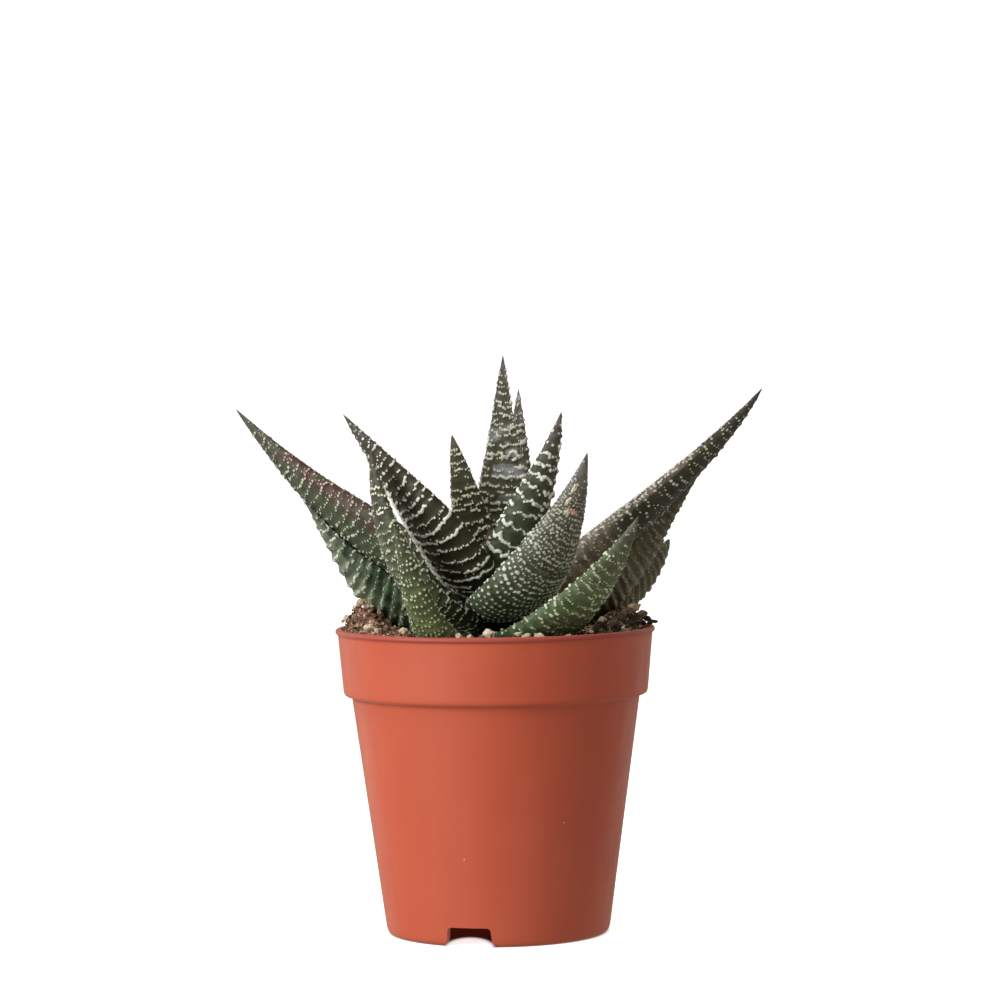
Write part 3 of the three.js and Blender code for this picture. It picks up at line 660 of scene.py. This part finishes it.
def press_aside(points, inner_leaves):
    """Moves points that would lie in the stem or in a leaf nearer the heart out of it, and says which."""
    moved = np.zeros(len(points), bool)
    samples = 90
    for other in inner_leaves:
        near, k, side, face, x, y, half, deep = about_leaf(other, points, True, samples)
        reach = np.sqrt((x / (half + SKIN_ROOM + LEAF_GAP)) ** 2 + (y / (deep + SKIN_ROOM + LEAF_GAP)) ** 2)
        inside = (reach < 1) & (k < samples - 1)
        push = 1 / np.maximum(reach, 0.05) - 1
        shift = side * (x * push)[:, None] + face * (y * push)[:, None]
        points[near[inside]] += shift[inside]
        moved[near[inside]] = True
    flat = points[:, :2] - np.array([STEM_X, 0])
    reach = np.linalg.norm(flat, axis=1)
    room = STEM_RADIUS + LEAF_GAP
    inside = (reach < room) & (points[:, 2] < STEM_TOP_Z)
    points[inside, :2] += flat[inside] * (room / np.maximum(reach[inside], 0.2) - 1)[:, None]
    return moved | inside


def inside_leaves(points, room):
    """Which points lie in a leaf or closer to one than their room."""
    inside = np.zeros(len(points), bool)
    for leaf in LEAVES:
        near, _, _, _, x, y, half, deep = about_leaf(leaf, points, ~inside, 60)
        half, deep = half + LEAF_ROOM + room[near], deep + LEAF_ROOM + room[near]
        inside[near] = (x / half) ** 2 + (y / deep) ** 2 < 1
    return inside


def outward_normals(points):
    """Normals of a grid of rings, pointing away from what the rings surround."""
    ahead = np.gradient(points, axis=0)
    round_it = np.roll(points, -1, axis=1) - np.roll(points, 1, axis=1)
    normals = unit(np.cross(round_it, ahead))
    middle = len(points) // 2
    outwards = points[middle] - points[middle].mean(0)
    return -normals if (normals[middle] * outwards).sum() < 0 else normals


def grid_point(grid, row, column):
    """The point between four neighbours of a grid that closes on itself across its columns."""
    i, j = min(int(row), grid.shape[0] - 2), int(column)
    u, v = row - i, column - j
    left, right = j % grid.shape[1], (j + 1) % grid.shape[1]
    low = grid[i, left] * (1 - v) + grid[i, right] * v
    high = grid[i + 1, left] * (1 - v) + grid[i + 1, right] * v
    return low * (1 - u) + high * u


def ridges(leaf, seed, t, theta, share):
    """Low ridges across the leaf that its rows of tubercles stand on, as a share of their height."""
    distance = lengths_along(leaf_axes(leaf, t)[0])[:, None]
    height = np.zeros(theta.shape)
    for rows, start, face_seed in both_faces(leaf, seed):
        u = np.clip((theta - start) / math.pi, 0, 1)
        here = distance - bowed(rows, share, u, t[:, None])
        face = np.zeros(theta.shape)
        for place in row_places(leaf, rows, face_seed):
            face = np.maximum(face, np.exp(-((here - place) / (RIDGE_WIDTH_SHARE * rows.spacing)) ** 2))
        on_face = (theta >= start) & (theta <= start + math.pi)
        height = np.where(on_face, face, height)
    return height * smoothstep(np.abs(np.sin(theta)), 0.0, 0.35)


def strip_of(leaf, t, theta):
    """Where a leaf's strip shows: about an angle, between two places along the leaf. It is the leaf's own
    reddish or pale tint, except on leaf_low_left, where it is painted shadow.
    """
    if not leaf.strip:
        return np.zeros(theta.shape)
    angle, reach, start, end = leaf.strip
    away = np.abs((theta - angle + math.pi) % FULL_TURN - math.pi)
    across = 1 - smoothstep(away, reach * 0.7, reach * 1.2)
    return across * smoothstep(t, start, start + 0.1) * (1 - smoothstep(t, end - 0.12, end))


def grid_place(t, theta, t_here, angle):
    """The row and the column, not rounded, at which a place on the leaf lies in its grid of points."""
    row = np.interp(t_here, t, np.arange(len(t)))
    return row, np.interp(angle, np.append(theta, FULL_TURN), np.arange(len(theta) + 1))


def scar_shares(leaf, base, t, theta):
    """How much of each point's colour is that of an old pale or pink scar on the leaf."""
    pale, pink = np.zeros(base.shape[:2]), np.zeros(base.shape[:2])
    for t_here, angle, length, width, lean, is_pink in leaf.scars:
        row, column = grid_place(t, theta, t_here, angle)
        centre = grid_point(base, row, column)
        _, along, _, _ = leaf_axes(leaf, t_here)
        around = unit(grid_point(base, row, column + 1) - centre)
        span = base - centre
        a, b = span @ along, span @ around
        long_way = (a * math.cos(lean) + b * math.sin(lean)) / (length / 2)
        short_way = (b * math.cos(lean) - a * math.sin(lean)) / (width / 2)
        ragged = np.hypot(long_way, short_way) + 0.25 * cloudy(a * 3 + 50, b * 3 + 50, 8)
        spot = 1 - smoothstep(ragged, 0.75, 1.1)
        pink, pale = np.maximum(pink, spot * is_pink), np.maximum(pale, spot * (1 - is_pink))
    return pale, pink


def raise_tubercles(leaf, seed, base, t, theta):
    """How far the tubercles cover each point of a leaf's skin, and how far they raise it."""
    distance = lengths_along(leaf_axes(leaf, t)[0])
    dome_sum, rise_sum = np.zeros(base.shape[:2]), np.zeros(base.shape[:2])
    placed = []
    for rows, start, face_seed in both_faces(leaf, seed):
        placed += place_tubercles(leaf, rows, start, face_seed)
    placed += edge_tubercles(leaf, seed * 10 + 7)
    for t_here, angle, radius in placed:
        s_here = float(np.interp(t_here, t, distance))
        first = np.searchsorted(distance, s_here - radius * 2)
        last = np.searchsorted(distance, s_here + radius * 2)
        if last <= first:
            continue
        centre = grid_point(base, *grid_place(t, theta, t_here, angle))
        gap = np.linalg.norm(base[first:last] - centre, axis=-1) / radius
        dome = np.clip(1 - (gap / 1.12) ** 2, 0, 1)
        skirt = np.clip(1 - (gap / 2) ** 2, 0, 1) ** 2
        dome_sum[first:last] += dome ** 3
        rise_sum[first:last] += (radius * TUBERCLE_RISE * (0.82 * dome ** 0.8 + 0.28 * skirt)) ** 3
    return np.minimum(dome_sum ** (1 / 3), 1), np.minimum(rise_sum ** (1 / 3), HIGHEST_RISE)


def leaf_rings(leaf):
    """How far along each ring of the mesh lies: a few at the hidden root, the others in even steps."""
    rings = leaf.mesh[0]
    hidden = max(rings // 14, 4)
    t_fine = np.linspace(0, 1, 401)
    reach = lengths_along(leaf_axes(leaf, t_fine)[0])
    steps = np.linspace(np.interp(HIDDEN_SHARE, t_fine, reach), reach[-1] - LAST_RING_GAP, rings - hidden)
    root = np.linspace(0, HIDDEN_SHARE, hidden, endpoint=False)
    return np.concatenate([root, np.interp(steps, reach, t_fine)])


def leaf_faces(t, columns):
    """Faces of a leaf's rings, of its tip and of its root, and each corner's place on the leaf's map."""
    rings = len(t)
    tip_index, root_index, top = rings * columns, rings * columns + 1, (rings - 1) * columns
    girth = np.arange(columns + 1) / columns
    faces, uvs = [], []
    for ring in range(rings - 1):
        for column in range(columns):
            p = ring * columns + column
            q = ring * columns + (column + 1) % columns
            faces.append((p, q, q + columns, p + columns))
            uvs += [(girth[column], t[ring]), (girth[column + 1], t[ring]),
                    (girth[column + 1], t[ring + 1]), (girth[column], t[ring + 1])]
    for column in range(columns):
        after = (column + 1) % columns
        u, u_after = girth[column], girth[column + 1]
        faces.append((top + column, top + after, tip_index))
        uvs += [(u, t[-1]), (u_after, t[-1]), ((u + u_after) / 2, 1)]
        faces.append((after, column, root_index))
        uvs += [(u_after, 0), (u, 0), (u, 0)]
    return faces, uvs


def build_leaf(leaf, inner_leaves):
    """One leaf: a closed skin of rings, with every tubercle raised out of it."""
    seed = len(inner_leaves) + 1
    columns = leaf.mesh[1]
    t, theta = leaf_rings(leaf), even_angles(leaf, columns)
    tt, th = np.meshgrid(t, theta, indexing="ij")
    share = width_share(leaf, tt)
    base = leaf_surface(leaf, tt, th)
    outwards = outward_normals(base)
    base += outwards * (SKIN_UNEVENNESS * share * cloudy(tt * 9, th * 1.3, seed + 100))[..., None]
    ridge = ridges(leaf, seed, t, th, share)
    outer, inner = leaf.rows
    base += outwards * (ridge * np.where(th > math.pi, outer.rib, inner.rib) * share)[..., None]
    flat = base.reshape(-1, 3)
    moved = press_aside(flat, inner_leaves).reshape(tt.shape)
    base = flat.reshape(base.shape)
    outwards = outward_normals(base)

    pearl, rise = raise_tubercles(leaf, seed, base, t, theta)
    pale_scar, pink_scar = scar_shares(leaf, base, t, theta)
    rise = rise * np.where(moved, 0.2, 1) + SCAR_RISE * (pale_scar + pink_scar)
    rise *= 1 - 0.5 * smoothstep(tt, 0.9, 1.0)
    points = (base + outwards * rise[..., None]).reshape(-1, 3)
    tip = leaf_axes(leaf, np.array([0.0, 1.0]))[0][1]
    points = np.vstack([points, tip, flat[:columns].mean(0)])

    faces, uvs = leaf_faces(t, columns)
    shares = {"pearl": pearl * ~moved, "along": tt, "strip": strip_of(leaf, tt, th), "ridge": ridge,
              "pale_scar": pale_scar, "pink_scar": pink_scar}
    attributes = {key: np.append(values, [key == "along", 0]) for key, values in shares.items()}
    piece = make_piece("dressed_" + leaf.name, points, faces, attributes, uvs)
    fix_outwards(piece)
    piece.data.materials.append(leaf_material(leaf))
    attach(piece, "root")
    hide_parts(leaf.name)


def fix_outwards(piece):
    shape = bmesh.new()
    shape.from_mesh(piece.data)
    bmesh.ops.recalc_face_normals(shape, faces=shape.faces)
    shape.to_mesh(piece.data)
    shape.free()


def leaf_material(leaf):
    """Waxy skin that changes from root to tip, with painted shade between its ridges and painted highlights
    on their crests, and pearly tubercles.
    """
    look = leaf.look
    m = Material(leaf.name + "_skin")
    along = m.maths("ADD", m.attribute("along"), m.remap(m.noise(130, 2), 0.3, 0.7, -0.05, 0.05))
    skin = m.ramp(along, list(zip(SKIN_STOPS, (look.root, look.low, look.middle, look.high, look.tip))))
    pearl_low, pearl_high = srgb(*(0.86 * v for v in look.pearl)), srgb(*look.pearl)
    pearl = m.mix(m.remap(m.noise(700, 2), 0.35, 0.65), pearl_low, pearl_high)
    # The strip over skin and tubercles: the leaf's own reddish or pale tint, or painted shadow on
    # leaf_low_left.
    if look.strip:
        uneven = m.remap(m.noise(330, 5, 0.7), 0.35, 0.6, 0.25, 1.0)
        strip = m.maths("MULTIPLY", m.attribute("strip"), uneven)
        skin = m.mix(strip, skin, srgb(*look.strip))
        pearl = m.mix(strip, pearl, srgb(*look.strip_pearl))
    if look.patch:
        above, below = (m.remap(m.attribute("along"), *ends) for ends in ((0.42, 0.52), (0.82, 0.76)))
        spots = m.remap(m.noise(230, 2), 0.51, 0.57, 0.0, 0.85)
        skin = m.mix(m.maths("MULTIPLY", m.maths("MULTIPLY", above, below), spots), skin, srgb(*look.patch))
    mottle = m.remap(m.noise(420, 5, 0.65), 0.3, 0.7, 0.68, 1.28)
    # Painted shade in the grooves between ridges and painted highlight on their crests, deeper on strongly
    # ribbed leaves, multiplied into the mottled skin.
    groove_shade = 0.86 if leaf.rows[0].rib < 0.5 else 0.55
    mottle_and_ridge_shade = m.maths("MULTIPLY", mottle, m.remap(m.attribute("ridge"), 0.0, 1.0, groove_shade, 1.16, smooth=False))
    shade = m.node("ShaderNodeCombineColor", {0: mottle_and_ridge_shade, 1: mottle_and_ridge_shade, 2: mottle_and_ridge_shade}).outputs[0]
    skin = m.mix(1.0, skin, shade, "MULTIPLY")
    raised = m.maths("ADD", m.attribute("pearl"), m.remap(m.noise(1500, 2), 0.3, 0.7, -0.06, 0.06))
    fade_start, fade_end, faded = look.fade
    fade = m.remap(m.attribute("along"), fade_start, fade_end, 1.0, faded)
    colour = m.mix(m.maths("MULTIPLY", m.remap(raised, 0.36, 0.56), fade), skin, pearl)
    if leaf.scars:
        colour = m.mix(m.attribute("pale_scar"), colour, srgb(232, 222, 192))
        colour = m.mix(m.attribute("pink_scar"), colour, srgb(224, 176, 158))
    roughness = m.remap(m.noise(600, 3), 0.3, 0.7, 0.42, 0.58)
    papillae = m.bump(m.noise(2600, 2), 0.25, 0.00012)
    return m.finish(Base_Color=colour, Roughness=roughness, Normal=papillae, Specular_IOR_Level=0.3)


# Pot: one closed skin turned from its profile, then the notches and drain holes cut out of it
def inner_radius(z):
    if z > BAND_FOOT_Z:
        share = min((z - BAND_FOOT_Z) / (POT_HEIGHT - BEAD_HEIGHT - BAND_FOOT_Z), 1)
        return BAND_FOOT_RADIUS + (BAND_TOP_RADIUS - BAND_FOOT_RADIUS) * share - WALL
    share = min((z - FOOT_ROUND) / (BAND_FOOT_Z - STEP_HEIGHT - FOOT_ROUND), 1)
    return BODY_FOOT_RADIUS + (BODY_TOP_RADIUS - BODY_FOOT_RADIUS) * share - WALL


def rounded(profile, radius, steps=4):
    """The profile with each inner corner replaced by a short curve."""
    result = [profile[0]]
    for before, corner, after in zip(profile, profile[1:], profile[2:]):
        corner = np.array(corner, float)
        ends = []
        for neighbour in (before, after):
            arm = np.array(neighbour, float) - corner
            length = np.linalg.norm(arm)
            ends.append(corner + arm / max(length, 1e-9) * min(radius, length * 0.45))
        for step in range(steps + 1):
            u = step / steps
            result.append(tuple((1 - u) ** 2 * ends[0] + 2 * u * (1 - u) * corner + u * u * ends[1]))
    result.append(profile[-1])
    return result


def pot_profile():
    step_z = BAND_FOOT_Z - STEP_HEIGHT
    floor_top = FLOOR_UNDERSIDE_Z + FLOOR_THICKNESS
    foot_inner = BODY_FOOT_RADIUS - FOOT_WALL
    bead_z = POT_HEIGHT - BEAD_HEIGHT
    body = [(BODY_FOOT_RADIUS + (BODY_TOP_RADIUS - BODY_FOOT_RADIUS) * u,
             FOOT_ROUND + (step_z - FOOT_ROUND) * u) for u in np.linspace(0, 1, 9)]
    return rounded([
        (0, FLOOR_UNDERSIDE_Z),
        (foot_inner - 0.2, FLOOR_UNDERSIDE_Z),
        (foot_inner - 0.5, 0),
        (BODY_FOOT_RADIUS - FOOT_EDGE, 0),
        (BODY_FOOT_RADIUS - 0.25, 0.45),
        *body,
        (BAND_FOOT_RADIUS - 0.2, step_z + 0.35),
        (BAND_FOOT_RADIUS, BAND_FOOT_Z + 0.1),
        (BAND_TOP_RADIUS, bead_z),
        (LIP_RADIUS, bead_z + 0.25),
        (LIP_RADIUS, POT_HEIGHT - LIP_ROUND),
        (LIP_RADIUS - LIP_ROUND, POT_HEIGHT),
        (LIP_RADIUS - LIP_WIDTH, POT_HEIGHT),
        (inner_radius(bead_z), bead_z),
        (inner_radius(BAND_FOOT_Z + 0.1), BAND_FOOT_Z + 0.1),
        (inner_radius(step_z), step_z - 0.4),
        (inner_radius(floor_top) + 0.1, floor_top + 1.2),
        (inner_radius(floor_top) - 1.2, floor_top),
        (0, floor_top),
    ], CORNER_ROUND)


def skin_faces(first, rings, columns, start, end):
    """Faces of a closed body: rings of points, from the first one on, and a point at either end."""
    last = first + (rings - 1) * columns
    faces = []
    for column in range(columns):
        after = (column + 1) % columns
        faces.append((start, first + after, first + column))
        faces.append((end, last + column, last + after))
        for ring in range(rings - 1):
            p, q = first + ring * columns + column, first + ring * columns + after
            faces.append((p, q, q + columns, p + columns))
    return faces


def turned(name, profile, columns):
    """A closed body turned about the pot's axis from a profile that starts and ends on the axis."""
    points = [(0, 0, profile[0][1]), (0, 0, profile[-1][1])] + ring_points(profile[1:-1], columns, 0.5)
    piece = make_piece(name, points, skin_faces(2, len(profile) - 2, columns, 0, 1), {})
    fix_outwards(piece)
    return piece


def cutting_block(outline, place):
    """A closed block between two copies of an outline, which place puts at its two ends."""
    count = len(outline)
    points = [place(end, *corner) for end in (0, 1) for corner in outline]
    faces = [tuple(range(count)), tuple(range(2 * count - 1, count - 1, -1))]
    faces += [(i, (i + 1) % count, (i + 1) % count + count, i + count) for i in range(count)]
    piece = make_piece("cutter", points, faces, {}, smooth=False)
    fix_outwards(piece)
    return piece


def notch_cutter(azimuth):
    """A block with flared lower corners and rounded upper ones, through the foot ring."""
    half = NOTCH_WIDTH / 2
    angles = [math.radians(90 * step / 5) for step in range(6)]
    side = [(half + NOTCH_FLARE, -1)]
    for angle in angles:
        side.append((half + NOTCH_FLARE * (1 - math.sin(angle)), NOTCH_FLARE * (1 - math.cos(angle))))
    for angle in angles:
        side.append((half - 0.1 - NOTCH_ROUND * (1 - math.cos(angle)),
                     NOTCH_HEIGHT - NOTCH_ROUND + NOTCH_ROUND * math.sin(angle)))
    outline = side + [(-x, z) for x, z in reversed(side)]
    turn = Matrix.Rotation(math.radians(azimuth - 90), 3, "Z")
    ends = (BODY_FOOT_RADIUS - 4, BODY_FOOT_RADIUS + 2)
    return cutting_block(outline, lambda end, x, z: turn @ Vector((x, ends[end], z)))


def hole_cutter(azimuth):
    """A round block through the pot's floor."""
    angle = math.radians(azimuth)
    middle = (DRAIN_HOLE_DISTANCE * math.cos(angle), DRAIN_HOLE_DISTANCE * math.sin(angle))
    outline = [(middle[0] + x, middle[1] + y)
               for x, y, _ in ring_points([(DRAIN_HOLE_RADIUS, 0)], DRAIN_HOLE_SIDES)]
    ends = (FLOOR_UNDERSIDE_Z - 2, FLOOR_UNDERSIDE_Z + 3)
    return cutting_block(outline, lambda end, x, y: (x, y, ends[end]))


def apply_modifiers(piece):
    """Fixes the piece's modifiers into its mesh."""
    graph = bpy.context.evaluated_depsgraph_get()
    finished = bpy.data.meshes.new_from_object(piece.evaluated_get(graph))
    piece.modifiers.clear()
    piece.data = finished


def build_pot():
    pot = turned("dressed_pot", pot_profile(), POT_COLUMNS)
    cutters = [notch_cutter(azimuth) for azimuth in NOTCH_AZIMUTHS]
    cutters += [hole_cutter(azimuth) for azimuth in NOTCH_AZIMUTHS]
    for cutter in cutters:
        cut = pot.modifiers.new("cut", "BOOLEAN")
        cut.operation = "DIFFERENCE"
        cut.solver = "EXACT"
        cut.object = cutter
    apply_modifiers(pot)
    for cutter in cutters:
        bpy.data.objects.remove(cutter)
    pot.data.shade_smooth()
    pot.data.set_sharp_from_angle(angle=math.radians(SHARP_ANGLE))
    pot.data.materials.clear()
    pot.data.materials.append(pot_material())
    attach(pot, "root")
    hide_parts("pot")


def pot_material():
    """Satin terracotta-coloured plastic: faint flow marks, fine texture, a few specks of dried soil, and
    painted shade darkening the lip above its bead.
    """
    m = Material("terracotta_plastic")
    flow = m.noise(1.0, 3, 0.6, m.stretched(70, 70, 9))
    cloud = m.noise(38, 4)
    plastic = m.mix(flow, srgb(208, 92, 60), srgb(198, 80, 49))
    plastic = m.mix(m.remap(cloud, 0.42, 0.72, 0.0, 0.35), plastic, srgb(215, 102, 71))
    # Painted shade: above the bead the lip is darkened to a deep red.
    level = m.node("ShaderNodeSeparateXYZ", {0: m.place()}).outputs["Z"]
    plastic = m.mix(m.remap(level, 0.0561, 0.0565, 0.0, 0.85), plastic, srgb(168, 66, 50))
    specks = m.node("ShaderNodeTexVoronoi", {"Vector": m.place(), "Scale": 330}, feature="F1")
    own_number = m.node("ShaderNodeSeparateColor", {0: specks.outputs["Color"]}).outputs[0]
    chosen = m.remap(own_number, 0.965, 0.97, 0, 1, smooth=False)
    dot = m.remap(specks.outputs["Distance"], 0.03, 0.055, 1, 0)
    colour = m.mix(m.maths("MULTIPLY", chosen, dot), plastic, srgb(232, 200, 176))
    roughness = m.remap(m.noise(1.0, 3, 0.6, m.stretched(220, 220, 60)), 0.3, 0.7, 0.52, 0.62)
    grain = m.bump(m.noise(1500, 2), 0.12, 0.0001)
    waves = m.bump(m.noise(1.0, 2, 0.5, m.stretched(95, 95, 30)), 0.25, 0.0006, grain)
    return m.finish(Base_Color=colour, Roughness=roughness, Normal=waves, Specular_IOR_Level=0.62,
                    Sheen_Weight=0.4, Sheen_Roughness=0.3, Sheen_Tint=(1, 0.76, 0.56, 1))


# Potting mix: a crumbly surface and loose grains sunk into it. These single grains stand out along the lip:
# the x, y and z of each, its size and its tone.
PLACED_GRAINS = [
    (-7.9, -26.2, 57.6, 0.80, 0.78), (-6.6, -26.6, 57.4, 0.70, 0.70), (-1.3, -26.8, 57.9, 1.05, 0.80),
    (4.2, -26.8, 57.7, 0.72, 0.82), (5.9, -26.6, 57.5, 0.55, 0.78), (17.5, -20.7, 57.6, 0.50, 0.82),
    (-23.2, -13.6, 58.3, 0.95, 0.80), (-21.6, -15.6, 57.8, 0.8, 0.76), (-16.6, -21.4, 58.1, 0.9, 0.74),
    (-15.2, -22.6, 57.7, 0.6, 0.70), (-24.6, 1.2, 62.2, 0.85, 0.62), (-27.8, -2.5, 59.4, 0.6, 0.74),
    (-28.6, 1.0, 58.7, 0.5, 0.6), (24.6, -5.0, 60.1, 1.5, 0.44), (26.0, -3.6, 60.9, 1.5, 0.70),
    (27.6, -4.2, 59.6, 1.1, 0.40), (28.4, -3.4, 58.7, 0.8, 0.16), (29.3, -2.4, 58.1, 0.6, 0.20),
    (30.2, -1.2, 58.0, 0.42, 0.14), (28.9, -5.4, 58.1, 0.5, 0.12), (23.4, -9.0, 59.1, 1.2, 0.26),
    (22.0, -12.2, 58.6, 1.0, 0.32), (25.2, -10.6, 58.3, 0.8, 0.14), (26.6, -8.4, 58.5, 0.8, 0.22),
    (20.2, -15.6, 58.1, 0.9, 0.18), (22.6, -15.4, 57.9, 0.6, 0.10), (18.4, -18.6, 57.8, 0.6, 0.24),
    (27.6, -6.6, 58.2, 0.6, 0.08), (24.4, -13.0, 57.9, 0.55, 0.38),
]


def soil_height(radius, azimuth):
    """Height of the mix: a hollow round the rosette, and low heaps at the left and right of the rim."""
    rim_share = smoothstep(radius, 9, 23)
    left = LEFT_HEAP * np.exp(-(((azimuth - LEFT_HEAP_AZIMUTH) / 30) ** 2))
    right = RIGHT_HEAP * np.exp(-((np.minimum(azimuth, 360 - azimuth) / 28) ** 2))
    heap = left * smoothstep(radius, 17.5, 25.5) + right * smoothstep(radius, 13, 25)
    lip_drop = heap * 0.7 * smoothstep(radius, 25.6, 28.4)
    return SOIL_HOLLOW_Z + (SOIL_RIM_Z - SOIL_HOLLOW_Z) * rim_share + heap - lip_drop


def rough_ball(random, size, squash, fine, roughness):
    """A lumpy grain: points and faces of a subdivided ball with its surface pushed in and out."""
    shape = bmesh.new()
    bmesh.ops.create_icosphere(shape, subdivisions=2 if fine else 1, radius=1)
    points = np.array([v.co for v in shape.verts])
    faces = [tuple(v.index for v in f.verts) for f in shape.faces]
    shape.free()
    offset = random.uniform(0, 100, 3)
    lumps = cloudy(points[:, 0] * 1.3 + offset[0], points[:, 1] * 1.3 + points[:, 2] * 2.1 + offset[1], 900)
    jagged = random.uniform(-1, 1, len(points))
    points = points * (1 + roughness * (0.7 * lumps + 0.5 * jagged))[:, None]
    points = points * (np.array(squash) * size)
    spin = Matrix.Rotation(random.uniform(0, 6.28), 3, "Z")
    tilt = Matrix.Rotation(random.uniform(-1, 1), 3, "X")
    return points @ np.array(spin @ tilt).T, faces


def soil_skin():
    """The closed skin of the mix, pressed down under the leaves: its points and faces."""
    rings, spokes = SOIL_RINGS, SOIL_SPOKES
    radius = SOIL_RADIUS * (np.arange(1, rings + 1) / rings) ** 0.8
    azimuth = np.arange(spokes) * 360 / spokes
    rr, aa = np.meshgrid(radius, azimuth, indexing="ij")
    x, y = rr * np.cos(np.radians(aa)), rr * np.sin(np.radians(aa))
    rough = 0.55 * cloudy(x / 2.2 + 40, y / 2.2 + 40, 31) + 0.35 * cloudy(x / 0.9 + 40, y / 0.9 + 40, 32)
    rough += 0.22 * cloudy(x / 0.42 + 60, y / 0.42 + 60, 33)
    z = soil_height(rr, aa) - 0.25 + rough
    z = np.where(rr > SOIL_RADIUS - 0.05, np.minimum(z, POT_HEIGHT - 0.5), z)
    top = np.stack([x, y, z], -1).reshape(-1, 3)
    for _ in range(PRESS_ROUNDS):
        top[inside_leaves(top, np.full(len(top), 0.05)), 2] -= PRESS_STEP
    edge = top[-spokes:].copy()
    edge[:, 2] = SOIL_DEPTH_Z
    edge[:, :2] *= (inner_radius(SOIL_DEPTH_Z) - 0.4) / SOIL_RADIUS
    points = np.vstack([top, edge, [[0, 0, float(soil_height(0.0, 0.0))], [0, 0, SOIL_DEPTH_Z]]])
    return points, skin_faces(0, rings + 1, spokes, len(points) - 2, len(points) - 1)


def scattered_grains(random):
    """Grains all over the mix: for each its place, size, tone, and whether it has a fine mesh."""
    placed = []
    kinds = [("pumice", PUMICE_GRAINS, (0.45, 1.1)), ("large", LARGE_CRUMBS, (0.4, 0.85)),
             ("small", SMALL_CRUMBS, (0.16, 0.40))]
    for kind, number, (least, most) in kinds:
        for _ in range(number):
            size = least + (most - least) * random.uniform() ** 1.6
            distance = (SOIL_RADIUS - size * 0.6) * random.uniform(0.12, 1) ** 0.5
            azimuth = random.uniform(0, 360)
            z = float(soil_height(np.array(distance), np.array(azimuth))) + random.uniform(-0.1, 0.5) * size
            tone = random.uniform(0.62, 0.9) if kind == "pumice" else random.uniform(0, 1) ** 1.5 * 0.84
            angle = math.radians(azimuth)
            x, y = distance * math.cos(angle), distance * math.sin(angle)
            placed.append((x, y, z, size, tone, kind != "small"))
    return placed


def build_soil():
    random = np.random.default_rng(5)
    skin, faces = soil_skin()
    points, tones, count = [skin], [np.full(len(skin), -1.0)], len(skin)
    placed = scattered_grains(random) + [(*grain, True) for grain in PLACED_GRAINS]
    places, sizes = np.array([grain[:3] for grain in placed]), np.array([grain[3] for grain in placed])
    for (*place, size, tone, fine), free in zip(placed, ~inside_leaves(places, sizes)):
        squash = (1, random.uniform(0.6, 1.0), random.uniform(0.5, 0.85))
        body, triangles = rough_ball(random, size, squash, fine, 0.38)
        if not free:
            continue
        points.append(body + np.array(place))
        faces += [tuple(i + count for i in f) for f in triangles]
        count += len(body)
        tones.append(np.full(len(body), tone))
    points = np.vstack(points)
    attributes = {"tone": np.concatenate(tones), "peat": smoothstep(points[:, 0], 12, 21)}
    soil = make_piece("dressed_soil", points, faces, attributes, smooth=False)
    fix_outwards(soil)
    soil.data.materials.append(soil_material())
    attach(soil, "root")
    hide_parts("soil")


def soil_material():
    """Peat, bark crumbs and pale pumice, told apart by each grain's tone."""
    m = Material("potting_mix")
    base = m.remap(m.noise(1100, 4, 0.75), 0.3, 0.7, 0.0, 0.68)
    own = m.attribute("tone")
    has_own = m.remap(own, -0.6, -0.4, smooth=False)
    tone = m.maths("ADD", m.maths("MULTIPLY", has_own, own),
                   m.maths("MULTIPLY", m.maths("SUBTRACT", 1.0, has_own), base))
    tone = m.maths("ADD", tone, m.remap(m.noise(2200, 3, 0.7), 0.25, 0.75, -0.07, 0.07))
    colour = m.ramp(tone, [
        (0.0, (32, 22, 17)), (0.18, (68, 46, 36)), (0.36, (110, 76, 60)), (0.50, (150, 108, 88)),
        (0.62, (188, 158, 128)), (0.74, (212, 194, 164)), (1.0, (232, 224, 202)),
    ])
    peat = m.ramp(tone, [
        (0.0, (30, 24, 17)), (0.20, (62, 50, 38)), (0.40, (98, 82, 64)), (0.60, (146, 128, 98)),
        (0.74, (190, 174, 128)), (1.0, (226, 216, 184)),
    ])
    colour = m.mix(m.maths("MULTIPLY", m.attribute("peat"), 0.8), colour, peat)
    normal = m.bump(m.noise(2500, 4, 0.7), 0.6, 0.0004)
    return m.finish(Base_Color=colour, Roughness=0.92, Normal=normal, Specular_IOR_Level=0.25)


# Stem: the CAD node is kept and gets a fibrous skin
def dress_stem():
    m = Material("stem_skin")
    fibres = m.noise(1.0, 4, 0.6, m.stretched(700, 700, 90))
    colour = m.ramp(fibres, [(0.3, (74, 70, 44)), (0.55, (104, 102, 66)), (0.75, (132, 122, 86))])
    normal = m.bump(fibres, 0.5, 0.0003)
    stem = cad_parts["stem"]
    stem.data.materials.clear()
    stem.data.materials.append(m.finish(Base_Color=colour, Roughness=0.7, Normal=normal))


make_camera()
make_lights()
make_floor()
build_pot()
build_soil()
dress_stem()
for place, leaf in enumerate(LEAVES):
    build_leaf(leaf, LEAVES[:place])
